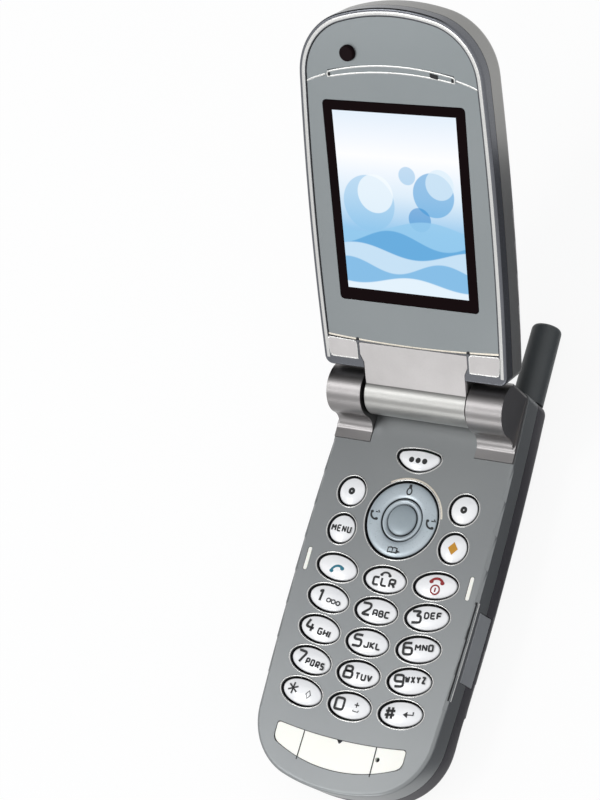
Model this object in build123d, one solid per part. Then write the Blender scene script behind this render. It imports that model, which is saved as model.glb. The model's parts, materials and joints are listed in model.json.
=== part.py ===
from build123d import *
import os
from math import cos, radians, sin

# A clamshell flip phone, open. Millimetres. +Z is up, out of the keypad; +Y runs towards the hinge;
# +X is the antenna side. The origin is the centre of the flat face that the base lies on.
# Base pieces are drawn in a local frame with the hinge axis over y = 0, and lid pieces in one with
# the hinge axis at y = 0, z = 0 and the lid closed, its tip towards -Y and its outside towards +Z.

# ---- case ----
HALF_WIDTH = 24.0
BASE_REACH = 91.4
LID_OVERHANG = 0.06
LID_REACH = BASE_REACH + LID_OVERHANG
BACK_REACH = 6.2
BASE_THICK = 13.0
CLOSING_GAP = 1.2
AXIS_TO_INNER = 3.86
AXIS_TO_OUTER = 5.25
OPEN_ANGLE = 138.3
BACK_INSET = 1.1
BACK_HALF = HALF_WIDTH - BACK_INSET
LID_ROOT = 7.3
LID_ROOT_INSET = 0.5
LID_ROOT_HALF = HALF_WIDTH - LID_ROOT_INSET
ROOT_CORNER_R = 2.0
CORNER_INSET = 1.1
CORNER_HALF = HALF_WIDTH - CORNER_INSET
CORNER_RISE = 15.3
CHIN_INSET = 11.5
CHIN_HALF = HALF_WIDTH - CHIN_INSET
CHIN_RISE = 1.8
WALL = 1.3
FRONT_PLATE = 1.5
SEAM_Z = 7.0
SEAM = 0.15
FIT = 0.1
FRONT_EDGE_R = 0.9
REAR_EDGE_R = 3.0
LID_EDGE_R = 2.2
RIM_EDGE_R = 0.5
HINGE_Y = (BASE_REACH - BACK_REACH) / 2
HINGE_Z = BASE_THICK + CLOSING_GAP + AXIS_TO_INNER
PLATE_UNDER = BASE_THICK - FRONT_PLATE

# ---- keypad ----
KEY_PROUD = 0.8
KEY_TRAVEL = 0.4
KEY_REST_GAP = 0.5
KEY_GAP = 0.22
KEY_LIP = 0.25
KEY_LIP_THICK = 0.5
KEY_EDGE_R = 0.45
OVAL_COLUMN_INSET = 11.14
OVAL_COLUMN = HALF_WIDTH - OVAL_COLUMN_INSET
OVAL_COLUMN_GAP = 1.56
OVAL_DROP = 0.79
OVAL_TILT = 8.0
CALL_ROW_Y = -41.38
LAST_ROW_RISE = 20.42
OVAL_ROW = (CALL_ROW_Y + BASE_REACH - LAST_ROW_RISE) / 4
OVAL_ROW_GAP = 0.9
OVAL_WELL = ((OVAL_COLUMN - OVAL_COLUMN_GAP) / 2, (OVAL_ROW - OVAL_ROW_GAP) / 2)
ROUND_WELL_R = 3.72
SOFT_KEY_INSET = 9.34
MENU_KEY_INSET = 9.43
SOFT_KEY_AT = (HALF_WIDTH - SOFT_KEY_INSET, -23.14)
MENU_KEY_AT = (HALF_WIDTH - MENU_KEY_INSET, -32.26)
NAV_Y = -27.84
NAV_WELL_R = 9.37
SELECT_WELL_R = 5.15
MORE_KEY_Y = -13.36
MORE_HALF = 5.75
MORE_TOP = 2.75
MORE_BOTTOM = 2.95
MORE_SHOULDER = 1.5
MORE_END_R = 1.6
MORE_END_BEYOND = 0.85
MORE_END_SPREAD = 1.4
KEY_UNDER = PLATE_UNDER - KEY_LIP_THICK - 0.2
MEMBRANE_TOP = KEY_UNDER - KEY_REST_GAP
MEMBRANE_THICK = 0.85
SIDE_KEY_Y = (-21.5, -32.0)
SIDE_KEY_SIZE = (8.6, 2.6)
SIDE_KEY_DROP = 3.6
SIDE_KEY_Z = BASE_THICK - SIDE_KEY_DROP
SIDE_KEY_PROUD = 0.6

# ---- base trim ----
INLAY_DEPTH = 0.9
INLAY_SINK = 0.05
CHIN_WIN_INSET = 7.34
CHIN_WIN_HALF = HALF_WIDTH - CHIN_WIN_INSET
CHIN_WIN_RISE = 12.91
CHIN_WIN_TOP = CHIN_WIN_RISE - BASE_REACH
CHIN_WIN_TOP_SAG = 1.15
CHIN_WIN_SIDE = 4.1
CHIN_WIN_HEIGHT = 8.01
CHIN_WIN_LOW = CHIN_WIN_TOP - CHIN_WIN_HEIGHT
CHIN_WIN_TOP_R = 0.8
CHIN_WIN_LOW_R = 1.8
CHIN_PANE = 7.31
CHIN_DIVIDER_TOP = CHIN_WIN_HALF - CHIN_PANE
CHIN_DIVIDER_SLANT = 0.13
CHIN_DIVIDER_LOW = CHIN_DIVIDER_TOP + CHIN_DIVIDER_SLANT
DIVIDER_WIDTH = 0.3
MIC_FROM_DIVIDER = 0.82
MIC_DROP = 3.41
MIC_HOLE = (CHIN_DIVIDER_LOW + MIC_FROM_DIVIDER, CHIN_WIN_TOP - MIC_DROP)
MIC_HOLE_R = 0.55
MIC_R = 2.0
STRIP_INSET = 2.83
STRIP_X = HALF_WIDTH - STRIP_INSET
STRIP_Y = (-43.24, -37.82)
STRIP_WIDTH = 0.9
JACK_Y = (-61.0, -44.8)
JACK_DROP = 2.8
JACK_Z = (3.9, BASE_THICK - JACK_DROP)
JACK_DEPTH = 0.8
JACK_RIM = 1.0

# ---- base inside ----
BOARD_THICK = 0.8
BOARD_INSET = 3.1
BATTERY_BAY = (34.0, 48.0)
BATTERY_BAY_Y = -48.0
GRIP_PITCH = 6.0
GRIP_SIZE = (4.0, 1.0)
GRIP_FROM_END = 5.0
GRIP_DEPTH = 0.4
BATTERY_ROOM = 0.75
SHIELD_SIZE = (26.0, 30.0)
SHIELD_Y = -46.0
SHIELD_HEIGHT = 2.6
BOARD_TOP = MEMBRANE_TOP - MEMBRANE_THICK
BATTERY_LOW = WALL + FIT
BATTERY_TOP = BOARD_TOP - BOARD_THICK - SHIELD_HEIGHT - BATTERY_ROOM
BOSS_R = 1.6
SCREW_R = 0.7
SCREW_HEAD_R = 1.3
SCREW_HEAD_SINK = 0.5
SCREW_HEAD_THICK = 0.6
SCREW_INSET = 5.0
SCREW_LOW_RISE = 15.4
SCREW_X = HALF_WIDTH - SCREW_INSET
SCREW_SPOTS = ((SCREW_X, -16.4), (SCREW_X, SCREW_LOW_RISE - BASE_REACH))
CONNECTOR_SIZE = (16.0, 5.2, 3.6)
CONNECTOR_SETBACK = 1.8
CONNECTOR_EDGE = 0.9

# ---- hinge and antenna ----
KNUCKLE_HALF = 13.0
KNUCKLE_GAP = 0.6
TROUGH_GAP = 0.35
CAP_R = 6.1
CAP_END_INSET = 1.3
CAP_OUTER = HALF_WIDTH - CAP_END_INSET
CAP_LEDGE_INSET = 0.7
CAP_LEDGE_OUTER = HALF_WIDTH - CAP_LEDGE_INSET
CAP_FRONT = -10.77
CAP_LEDGE_RISE = 0.15
CAP_LEDGE_STEP = 0.45
CAP_HOLLOW_TURN = 8.0
CAP_HOLLOW = (1.25, 0.75)
CAP_RUN_OUT = (2.5, 0.2)
CAP_POCKET = 0.5
PIN_R = 2.0
PIN_RUNNING_FIT = 0.05
PIN_SEAT_FIT = 0.02
PIN_IN_KNUCKLE = 6.0
PIN_IN_CAP = 5.0
ANTENNA_INSET = 4.3
ANTENNA_X = BACK_HALF - ANTENNA_INSET
ANTENNA_Z = 4.15
ANTENNA_LENGTH = 19.0
ANTENNA_BASE_R = 3.75
ANTENNA_TIP_R = 3.5
ANTENNA_STUD_R = 2.2
ANTENNA_STUD_LENGTH = 5.0

# ---- lid ----
LID_SEAM_N = -1.1
RIM = 1.7
INNER_PLATE_SINK = 0.2
INNER_PLATE_THICK = 1.0
DIVISION_FROM_TIP = 16.84
DIVISION_V = LID_REACH - DIVISION_FROM_TIP
DIVISION_INSET = 2.64
DIVISION_HALF = HALF_WIDTH - DIVISION_INSET
DIVISION_RISE = 3.43
DIVISION_GAP = 0.12
PLATE_FOOT_V = 14.76
PLATE_FOOT_INSET = 1.56
PLATE_FOOT_HALF = HALF_WIDTH - PLATE_FOOT_INSET
PLATE_FOOT_BULGE = 0.95
WINDOW_INSET = 6.38
WINDOW_HALF = HALF_WIDTH - WINDOW_INSET
WINDOW_FROM_FOOT = 9.24
WINDOW_FROM_DIVISION = 4.13
WINDOW_V = (PLATE_FOOT_V + WINDOW_FROM_FOOT, DIVISION_V - WINDOW_FROM_DIVISION)
LCD_MARGIN = 1.22
LCD_HALF = WINDOW_HALF - LCD_MARGIN
LCD_V = (WINDOW_V[0] + LCD_MARGIN, WINDOW_V[1] - LCD_MARGIN)
LCD_THICK = 1.9
SKIRT_TOP_V = 13.65
SKIRT_TOP_HALF = 13.85
SKIRT_NECK_V = (8.9, 10.6)
SKIRT_THICK = 1.0
PAD_INSET = 1.8
PAD_OUTER_HALF = HALF_WIDTH - PAD_INSET
PAD_INNER_HALF = 14.45
PAD_V = (9.6, 13.9)
PAD_SLANT = 0.5
PAD_CORNER_R = 0.5
PAD_PROUD = 0.1
EAR_SLOT_HALF = 15.55
EAR_SLOT_MID_V = DIVISION_V + DIVISION_RISE
EAR_SLOT_RISE = 1.58
EAR_SLOT_END_V = EAR_SLOT_MID_V - EAR_SLOT_RISE
EAR_SLOT_WIDTH = 1.5
BUMPER_X = -9.95
BUMPER_BEYOND = 3.25
BUMPER_AT = (BUMPER_X, -EAR_SLOT_MID_V - BUMPER_BEYOND)
BUMPER_R = 1.77
BUMPER_PROUD = 0.8
EAR_SPEAKER_R = 5.0
EAR_SPEAKER_BEYOND = 3.95
EAR_SPEAKER_V = EAR_SLOT_MID_V + EAR_SPEAKER_BEYOND
LID_BOARD_THICK = 0.8
LID_BOARD_BEYOND = (8.0, 4.0)
EAR_SPEAKER_THICK = 3.0

# ---- outside of the lid ----
OUTER_INLAY = 0.8
CAMERA_FROM_TIP = 10.76
CAMERA_V = LID_REACH - CAMERA_FROM_TIP
PANEL_ARCH_FROM_CAMERA = 16.7
SUB_APEX_V = 22.4
SUB_MID = (7.1, 42.4)
SUB_ARCH_V = CAMERA_V - PANEL_ARCH_FROM_CAMERA
SUB_ARCH_RISE = 2.1
SUB_FOOT = (8.6, SUB_ARCH_V + SUB_ARCH_RISE)
PANEL_TIP_HALF = 7.75
SUB_LCD_HALF = 4.15
SUB_LCD_FROM_ARCH = 2.3
SUB_LCD_V = (34.0, SUB_ARCH_V - SUB_LCD_FROM_ARCH)
SUB_LCD_THICK = 1.6
BEZEL_R = 6.85
BEZEL_PROUD = 0.55
LENS_WINDOW_R = 3.95
FLASH_FROM_CAMERA = 13.6
FLASH_V = CAMERA_V - FLASH_FROM_CAMERA
FLASH_SIZE = (1.8, 0.9)
TARGET_FROM_CAMERA = 9.8
TARGET_V = CAMERA_V - TARGET_FROM_CAMERA
TARGET_SIZE = (1.9, 2.0)
PORT_V = 16.6
PORT_SIZE = (1.3, 4.8)
PORT_BRIDGE = 0.7
INDICATOR_V = 6.2
INDICATOR_X = (7.9, 12.9)
INDICATOR_WIDTH = 1.2

BASE_PLACE = Pos(0, HINGE_Y, 0)
LID_PLACE = Pos(0, HINGE_Y, HINGE_Z) * Rotation(-OPEN_ANGLE, 0, 0)
BOTH_SIDES = (-1, 1)


# ---- shared shapes ----
def slab(face, low, high):
    """A flat face in the XY plane, extruded from height low to height high."""
    return extrude(Pos(0, 0, low) * face, high - low)


def block(x_range, y_range, z_range):
    size = [high - low for low, high in (x_range, y_range, z_range)]
    centre = [(low + high) / 2 for low, high in (x_range, y_range, z_range)]
    return Pos(*centre) * Box(*size)


def both_ways(half):
    return (-half, half)


def closed_face(*edges):
    return make_face(Curve() + list(edges))


def mirrored(point):
    return (-point[0], point[1])


def case_face(reach, root_y, root_half, inset=0.0):
    """The outline that the base and the lid share, from root_y to the rounded tip."""
    root = (root_half, root_y)
    corner = (CORNER_HALF, CORNER_RISE - reach)
    chin = (CHIN_HALF, CHIN_RISE - reach)
    side = ThreePointArc(root, (HALF_WIDTH, (root_y + corner[1]) / 2), corner)
    bend = TangentArc(corner, chin, tangent=side % 1)
    tip = ThreePointArc(chin, (0, -reach), mirrored(chin))
    far_side = [mirror(edge, about=Plane.YZ) for edge in (side, bend)]
    face = closed_face(side, bend, tip, *far_side, Line(mirrored(root), root))
    face = fillet(face.vertices().group_by(Axis.Y)[-1], ROOT_CORNER_R)
    return offset(face, amount=-inset) if inset else face


def base_face(inset=0.0):
    return case_face(BASE_REACH, BACK_REACH, BACK_HALF, inset)


def lid_face(inset=0.0):
    return case_face(LID_REACH, -LID_ROOT, LID_ROOT_HALF, inset)


def along_x(radius, x_range, y=0.0, z=0.0):
    low, high = x_range
    return Pos((low + high) / 2, y, z) * Rotation(0, 90, 0) * Cylinder(radius, high - low)


def upright(radius, z_range, x=0.0, y=0.0):
    low, high = z_range
    return Pos(x, y, (low + high) / 2) * Cylinder(radius, high - low)


def top_edges(solid):
    return solid.edges().group_by(Axis.Z)[-1]


def bottom_edges(solid):
    return solid.edges().group_by(Axis.Z)[0]


# ---- key shapes and places, in the base's local frame ----
def oval_face(grow=0.0):
    return Ellipse(OVAL_WELL[0] + grow, OVAL_WELL[1] + grow)


def round_face(grow=0.0):
    return Circle(ROUND_WELL_R + grow)


def more_face(grow=0.0):
    """A half-moon key with round ends, flatter towards the hinge."""
    end = (MORE_HALF + MORE_END_BEYOND + MORE_END_SPREAD * grow, MORE_SHOULDER)
    upper = ThreePointArc(end, (0, MORE_TOP + grow), mirrored(end))
    lower = ThreePointArc(mirrored(end), (0, -MORE_BOTTOM - grow), end)
    face = closed_face(upper, lower)
    return fillet(face.vertices(), MORE_END_R + grow)


def oval_spots():
    """Name and place of each oval key, row by row from the call row to the bottom row."""
    names = ("key_call", "key_clear", "key_end", "key_1", "key_2", "key_3", "key_4", "key_5",
             "key_6", "key_7", "key_8", "key_9", "key_star", "key_0", "key_hash")
    spots = {}
    for index, name in enumerate(names):
        row, column = divmod(index, 3)
        side = column - 1
        drop = 0 if side else OVAL_DROP
        y = CALL_ROW_Y - row * OVAL_ROW - drop
        spots[name] = Pos(side * OVAL_COLUMN, y, 0) * Rotation(0, 0, side * OVAL_TILT)
    return spots


def round_spots():
    spots = {}
    for name, side, (x, y) in (("soft_key_left", -1, SOFT_KEY_AT), ("soft_key_right", 1, SOFT_KEY_AT),
                               ("menu_key", -1, MENU_KEY_AT), ("info_key", 1, MENU_KEY_AT)):
        spots[name] = Pos(side * x, y, 0)
    return spots


def face_keys():
    """Every key that drops into a well of its own: name, place and well outline."""
    keys = [(name, spot, oval_face) for name, spot in oval_spots().items()]
    keys += [(name, spot, round_face) for name, spot in round_spots().items()]
    keys.append(("more_key", Pos(0, MORE_KEY_Y, 0), more_face))
    return keys


def pressed_key(well):
    """A cap with a rounded top in its well, and a lip under the front plate that keeps it in."""
    cap = slab(well(-KEY_GAP), KEY_UNDER, BASE_THICK + KEY_PROUD)
    cap = fillet(top_edges(cap), KEY_EDGE_R)
    return cap + slab(well(KEY_LIP), KEY_UNDER, KEY_UNDER + KEY_LIP_THICK)


def nav_ring():
    outer = NAV_WELL_R - KEY_GAP
    ring = slab(Circle(outer) - Circle(SELECT_WELL_R), KEY_UNDER, BASE_THICK + KEY_PROUD)
    ring = fillet(top_edges(ring), KEY_EDGE_R)
    lip_face = Circle(NAV_WELL_R + KEY_LIP) - Circle(SELECT_WELL_R)
    lip = slab(lip_face, KEY_UNDER, KEY_UNDER + KEY_LIP_THICK)
    return Pos(0, NAV_Y, 0) * (ring + lip)


def select_button():
    cap = upright(SELECT_WELL_R - KEY_GAP, (KEY_UNDER, BASE_THICK + KEY_PROUD))
    return Pos(0, NAV_Y, 0) * fillet(top_edges(cap), KEY_EDGE_R)


def side_key_hole(y):
    length, height = SIDE_KEY_SIZE
    centre = Pos(-HALF_WIDTH, y, SIDE_KEY_Z) * Rotation(0, 90, 0)
    return centre * extrude(RectangleRounded(height, length, height * 0.45), 2 * WALL, both=True)


def side_key(y):
    length, height = SIDE_KEY_SIZE
    inner = HALF_WIDTH - WALL - FIT
    face = RectangleRounded(height - 2 * FIT, length - 2 * FIT, (height - 2 * FIT) * 0.45)
    lip = RectangleRounded(height + KEY_LIP, length + KEY_LIP, height * 0.45)
    turn = Rotation(0, -90, 0)
    cap = Pos(-inner + KEY_LIP_THICK, y, SIDE_KEY_Z) * turn * extrude(face, HALF_WIDTH - inner
                                                                      + SIDE_KEY_PROUD + KEY_LIP_THICK)
    cap = fillet(cap.edges().group_by(Axis.X)[0], SIDE_KEY_PROUD * 0.5)
    stop = Pos(-inner + 2 * KEY_LIP_THICK, y, SIDE_KEY_Z) * turn * extrude(lip, KEY_LIP_THICK)
    return cap + stop


# ---- base covers ----
def screw_spots():
    return [(side * x, y) for x, y in SCREW_SPOTS for side in BOTH_SIDES]


def trough():
    """The room for the lid's knuckle between the two hinge caps."""
    return along_x(AXIS_TO_OUTER + TROUGH_GAP, both_ways(KNUCKLE_HALF + KNUCKLE_GAP), 0, HINGE_Z)


def strip_face(side, grow=0.0):
    low, high = STRIP_Y
    width = STRIP_WIDTH + 2 * grow
    strip = RectangleRounded(width, high - low + 2 * grow, width * 0.45)
    return Pos(side * STRIP_X, (low + high) / 2) * strip


def chin_window_face(grow=0.0):
    top_corner = (CHIN_WIN_HALF + grow, CHIN_WIN_TOP + grow)
    low_corner = (CHIN_WIN_HALF + grow, CHIN_WIN_TOP - CHIN_WIN_SIDE - grow)
    top = ThreePointArc(mirrored(top_corner), (0, CHIN_WIN_TOP - CHIN_WIN_TOP_SAG + grow), top_corner)
    low = ThreePointArc(low_corner, (0, CHIN_WIN_LOW - grow), mirrored(low_corner))
    right = Line(top_corner, low_corner)
    left = Line(mirrored(low_corner), mirrored(top_corner))
    face = closed_face(top, right, low, left)
    face = fillet(face.vertices().group_by(Axis.Y)[0], CHIN_WIN_LOW_R + grow)
    return fillet(face.vertices().group_by(Axis.Y)[-1], CHIN_WIN_TOP_R + grow)


def jack_cover_block(grow=0.0):
    y_range = (JACK_Y[0] - grow, JACK_Y[1] + grow)
    z_range = (JACK_Z[0] - grow, JACK_Z[1] + grow)
    return block((HALF_WIDTH - 0.1 - JACK_DEPTH - grow, HALF_WIDTH + 1), y_range, z_range)


def jack_frame(z_range):
    """Thicker wall behind the socket cover, inside the case."""
    y_range = (JACK_Y[0] - JACK_RIM, JACK_Y[1] + JACK_RIM)
    return block((HALF_WIDTH - 2 * WALL, HALF_WIDTH - 0.5), y_range, z_range)


def front_cover_blank():
    cover = slab(base_face(), SEAM_Z, BASE_THICK)
    return fillet(top_edges(cover), FRONT_EDGE_R)


def base_front_cover():
    cover = front_cover_blank() - slab(base_face(WALL), SEAM_Z, PLATE_UNDER)
    cover += jack_frame((SEAM_Z, JACK_Z[1] + JACK_RIM))
    for x, y in screw_spots():
        cover += upright(BOSS_R, (MEMBRANE_TOP - MEMBRANE_THICK + FIT, PLATE_UNDER), x, y)
        cover -= upright(SCREW_R, (SEAM_Z, PLATE_UNDER - FIT), x, y)
    for _, spot, well in face_keys():
        cover -= spot * slab(well(), PLATE_UNDER, BASE_THICK)
    cover -= upright(NAV_WELL_R, (PLATE_UNDER, BASE_THICK), 0, NAV_Y)
    cover -= slab(chin_window_face(FIT), BASE_THICK - INLAY_DEPTH, BASE_THICK)
    cover -= upright(MIC_HOLE_R, (PLATE_UNDER, BASE_THICK), *MIC_HOLE)
    for side in BOTH_SIDES:
        cover -= slab(strip_face(side, FIT), BASE_THICK - INLAY_DEPTH, BASE_THICK)
        cover -= cap_pocket(side)
    cover -= trough()
    for y in SIDE_KEY_Y:
        cover -= side_key_hole(y)
    return cover - jack_cover_block(FIT)


def base_rear_cover():
    top = SEAM_Z - SEAM
    cover = fillet(bottom_edges(slab(base_face(), 0, top)), REAR_EDGE_R)
    cover -= slab(base_face(REAR_EDGE_R - 0.4), WALL, REAR_EDGE_R)
    cover -= slab(base_face(WALL), REAR_EDGE_R, top)
    cover += jack_frame((JACK_Z[0] - JACK_RIM, top))
    for x, y in screw_spots():
        cover += upright(BOSS_R + 0.4, (WALL, board_range()[0] - FIT), x, y)
        cover -= upright(SCREW_R + FIT, (0, BASE_THICK), x, y)
        cover -= upright(SCREW_HEAD_R + FIT, (0, SCREW_HEAD_SINK + SCREW_HEAD_THICK), x, y)
    cover -= Pos(0, BATTERY_BAY_Y, 0) * slab(Rectangle(*BATTERY_BAY), 0, WALL)
    cover -= connector_box(FIT)
    cover -= connector_mouth()
    return cover - antenna_seat() - jack_cover_block(FIT)


def battery_cover():
    length = BATTERY_BAY[1] - 2 * FIT
    plate = slab(Rectangle(BATTERY_BAY[0] - 2 * FIT, length), 0, WALL)
    for step in (-1, 0, 1):
        grip = RectangleRounded(*GRIP_SIZE, GRIP_SIZE[1] * 0.45)
        plate -= Pos(step * GRIP_PITCH, length / 2 - GRIP_FROM_END, 0) * slab(grip, 0, GRIP_DEPTH)
    return Pos(0, BATTERY_BAY_Y, 0) * plate


def battery_pack():
    pack = slab(Rectangle(BATTERY_BAY[0] - 1, BATTERY_BAY[1] - 1), BATTERY_LOW, BATTERY_TOP)
    return Pos(0, BATTERY_BAY_Y, 0) * fillet(pack.edges().filter_by(Axis.Z), 1.0)


# ---- base inside ----
def board_range():
    return BOARD_TOP - BOARD_THICK, BOARD_TOP


def main_board():
    board = slab(base_face(BOARD_INSET), *board_range())
    for x, y in screw_spots():
        board -= upright(SCREW_R + FIT, board_range(), x, y)
    return board


def shield_can():
    top = board_range()[0]
    width, length = SHIELD_SIZE
    can = slab(RectangleRounded(width, length, 1), top - SHIELD_HEIGHT, top)
    can -= slab(Rectangle(width - 0.6, length - 0.6), top - SHIELD_HEIGHT + 0.3, top)
    return Pos(0, SHIELD_Y, 0) * can


def keypad_membrane():
    """One rubber sheet on the board under every face key."""
    low_y = CALL_ROW_Y - 4 * OVAL_ROW - OVAL_WELL[1]
    high_y = MORE_KEY_Y + MORE_TOP
    low = MEMBRANE_TOP - MEMBRANE_THICK
    sheet = block(both_ways(OVAL_COLUMN + OVAL_WELL[0]), (low_y, high_y), (low, MEMBRANE_TOP))
    for x, y in screw_spots():
        sheet -= upright(BOSS_R + 2 * FIT, (low, MEMBRANE_TOP), x, y)
    return sheet


def connector_box(grow=0.0):
    width, depth, height = CONNECTOR_SIZE
    front = CONNECTOR_SETBACK - BASE_REACH
    y_range = (front - grow, front + depth + grow)
    return block(both_ways(width / 2 + grow), y_range, (WALL, WALL + height + grow))


def connector_mouth():
    width, _, height = CONNECTOR_SIZE
    edge = CONNECTOR_EDGE
    return block(both_ways(width / 2 - edge), (-BASE_REACH - 1, CONNECTOR_SETBACK + 2 - BASE_REACH),
                 (WALL + edge, WALL + height - edge))


def bottom_connector():
    return connector_box() - connector_mouth()


def microphone():
    return upright(MIC_R, (board_range()[1], PLATE_UNDER), *MIC_HOLE)


def case_screws():
    screws = []
    top = PLATE_UNDER - 2 * FIT
    for x, y in screw_spots():
        low = SCREW_HEAD_SINK
        head = upright(SCREW_HEAD_R, (low, low + SCREW_HEAD_THICK), x, y)
        shank = upright(SCREW_R - PIN_SEAT_FIT, (low, top), x, y)
        drive = block((x - 0.9, x + 0.9), (y - 0.15, y + 0.15), (low, low + 0.3))
        drive += block((x - 0.15, x + 0.15), (y - 0.9, y + 0.9), (low, low + 0.3))
        screws.append(head + shank - drive)
    return Part() + screws


# ---- base trim ----
def chin_window():
    top = BASE_THICK - INLAY_SINK
    panes = slab(chin_window_face(), BASE_THICK - INLAY_DEPTH, top)
    for side in BOTH_SIDES:
        half = DIVIDER_WIDTH / 2
        upper = (side * CHIN_DIVIDER_TOP, CHIN_WIN_TOP + 1)
        lower = (side * CHIN_DIVIDER_LOW, CHIN_WIN_LOW - 1)
        cut = Polygon((upper[0] - half, upper[1]), (upper[0] + half, upper[1]),
                      (lower[0] + half, lower[1]), (lower[0] - half, lower[1]), align=None)
        panes -= slab(cut, BASE_THICK - INLAY_DEPTH, top)
    panes -= upright(MIC_HOLE_R, (PLATE_UNDER, BASE_THICK), *MIC_HOLE)
    return panes


def side_light_strips():
    strips = [slab(strip_face(side), BASE_THICK - INLAY_DEPTH, BASE_THICK - INLAY_SINK)
              for side in BOTH_SIDES]
    return Part() + strips


def side_jack_cover():
    """A plug over the side socket; it swings out about its end towards the hinge."""
    return slab(base_face(), 0, BASE_THICK) & jack_cover_block()


# ---- hinge ----
def cap_profile():
    """Side view of a hinge cap: the barrel, a hollow curve in front of it, and a low ledge."""
    floor = BASE_THICK - CAP_POCKET
    turn = radians(CAP_HOLLOW_TURN)
    back_low = (CAP_R, floor)
    back_high = (CAP_R, HINGE_Z)
    leave = (-CAP_R * cos(turn), HINGE_Z - CAP_R * sin(turn))
    hollow_end = (-CAP_R - CAP_HOLLOW[0], BASE_THICK + CAP_HOLLOW[1])
    ledge_back = (-CAP_R - CAP_RUN_OUT[0], BASE_THICK + CAP_RUN_OUT[1])
    ledge_front = (CAP_FRONT, BASE_THICK + CAP_LEDGE_RISE)
    ledge_low = (CAP_FRONT, floor)
    barrel = ThreePointArc(back_high, (0, HINGE_Z + CAP_R), leave)
    hollow = TangentArc(leave, hollow_end, tangent=barrel % 1)
    run_out = TangentArc(hollow_end, ledge_back, tangent=hollow % 1)
    return closed_face(Line(back_low, back_high), barrel, hollow, run_out, Line(ledge_back, ledge_front),
                       Line(ledge_front, ledge_low), Line(ledge_low, back_low))


def cap_pocket(side):
    inner = KNUCKLE_HALF + KNUCKLE_GAP
    x_range = sorted((side * inner, side * (HALF_WIDTH + 1)))
    floor = BASE_THICK - CAP_POCKET
    return block(x_range, (CAP_FRONT - FIT, BACK_REACH + 1), (floor, BASE_THICK + 1))


def hinge_cap(side):
    inner = KNUCKLE_HALF + KNUCKLE_GAP + FIT
    length = CAP_LEDGE_OUTER - inner
    profile = Plane((0, 0, 0), x_dir=(0, 1, 0), z_dir=(1, 0, 0)) * cap_profile()
    cap = Pos(inner, 0, 0) * extrude(profile, length)
    over = slab(base_face(0.25), 0, 2 * HINGE_Z)
    cap = cap & over
    cap -= block((CAP_OUTER, HALF_WIDTH + 1), (CAP_FRONT - 1, BACK_REACH + 1),
                 (BASE_THICK + CAP_LEDGE_STEP, 2 * HINGE_Z))
    cap -= along_x(PIN_R + PIN_SEAT_FIT, (0, inner + PIN_IN_CAP), 0, HINGE_Z)
    return cap if side > 0 else mirror(cap, about=Plane.YZ)


def hinge_pins():
    """Two pins, fixed in the hinge caps, that the lid's knuckle turns on."""
    inner = KNUCKLE_HALF - PIN_IN_KNUCKLE + FIT
    outer = KNUCKLE_HALF + KNUCKLE_GAP + PIN_IN_CAP
    pins = [along_x(PIN_R, sorted((side * inner, side * outer)), 0, HINGE_Z) for side in BOTH_SIDES]
    return Part() + pins


# ---- antenna ----
def antenna_seat():
    depth = ANTENNA_STUD_LENGTH + FIT
    place = Pos(ANTENNA_X, BACK_REACH - depth / 2, ANTENNA_Z) * Rotation(90, 0, 0)
    return place * Cylinder(ANTENNA_STUD_R + FIT, depth)


def antenna():
    """A fixed stub: a tapered, round-ended sleeve on a stud that screws into the case."""
    turn = Pos(ANTENNA_X, BACK_REACH, ANTENNA_Z) * Rotation(-90, 0, 0)
    outward = (Align.CENTER, Align.CENTER, Align.MIN)
    inward = (Align.CENTER, Align.CENTER, Align.MAX)
    sleeve = Cone(ANTENNA_BASE_R, ANTENNA_TIP_R, ANTENNA_LENGTH, align=outward)
    sleeve = fillet(top_edges(sleeve), 1.3)
    stud = Cylinder(ANTENNA_STUD_R, ANTENNA_STUD_LENGTH, align=inward)
    return turn * (sleeve + stud)


# ---- lid, inner side ----
INNER_N = -AXIS_TO_INNER
PLATE_TOP_N = INNER_N + INNER_PLATE_SINK
PLATE_FLOOR_N = PLATE_TOP_N + INNER_PLATE_THICK


def frame_pocket_face():
    return lid_face(RIM)


def beyond_foot():
    """The band of the inner side between the display plate's foot and the hinge."""
    end = (PLATE_FOOT_HALF + 3, -PLATE_FOOT_V)
    foot = ThreePointArc(mirrored(end), (0, PLATE_FOOT_BULGE - PLATE_FOOT_V), end)
    far = (end[0], 0)
    return closed_face(foot, Line(end, far), Line(far, mirrored(far)),
                       Line(mirrored(far), mirrored(end)))


def beyond_division(shift=0.0):
    """The part of the inner side past the curved line that runs through the earpiece slot."""
    end = (DIVISION_HALF, shift - DIVISION_V)
    line = ThreePointArc(mirrored(end), (0, shift - EAR_SLOT_MID_V), end)
    near = (HALF_WIDTH + 1, end[1])
    far = (HALF_WIDTH + 1, -LID_REACH - 1)
    return closed_face(line, Line(end, near), Line(near, far), Line(far, mirrored(far)),
                       Line(mirrored(far), mirrored(near)), Line(mirrored(near), mirrored(end)))


def window_face(grow=0.0):
    low, high = WINDOW_V
    face = RectangleRounded(2 * (WINDOW_HALF + grow), high - low + 2 * grow, 1.0)
    return Pos(0, -(low + high) / 2) * face


def ear_slot_face(grow=0.0):
    half_width = EAR_SLOT_WIDTH / 2 + grow
    end_x = EAR_SLOT_HALF + grow
    near = ThreePointArc((-end_x, half_width - EAR_SLOT_END_V), (0, half_width - EAR_SLOT_MID_V),
                         (end_x, half_width - EAR_SLOT_END_V))
    far = ThreePointArc((end_x, -half_width - EAR_SLOT_END_V), (0, -half_width - EAR_SLOT_MID_V),
                        (-end_x, -half_width - EAR_SLOT_END_V))
    return closed_face(near, Line(near @ 1, far @ 0), far, Line(far @ 1, near @ 0))


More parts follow.
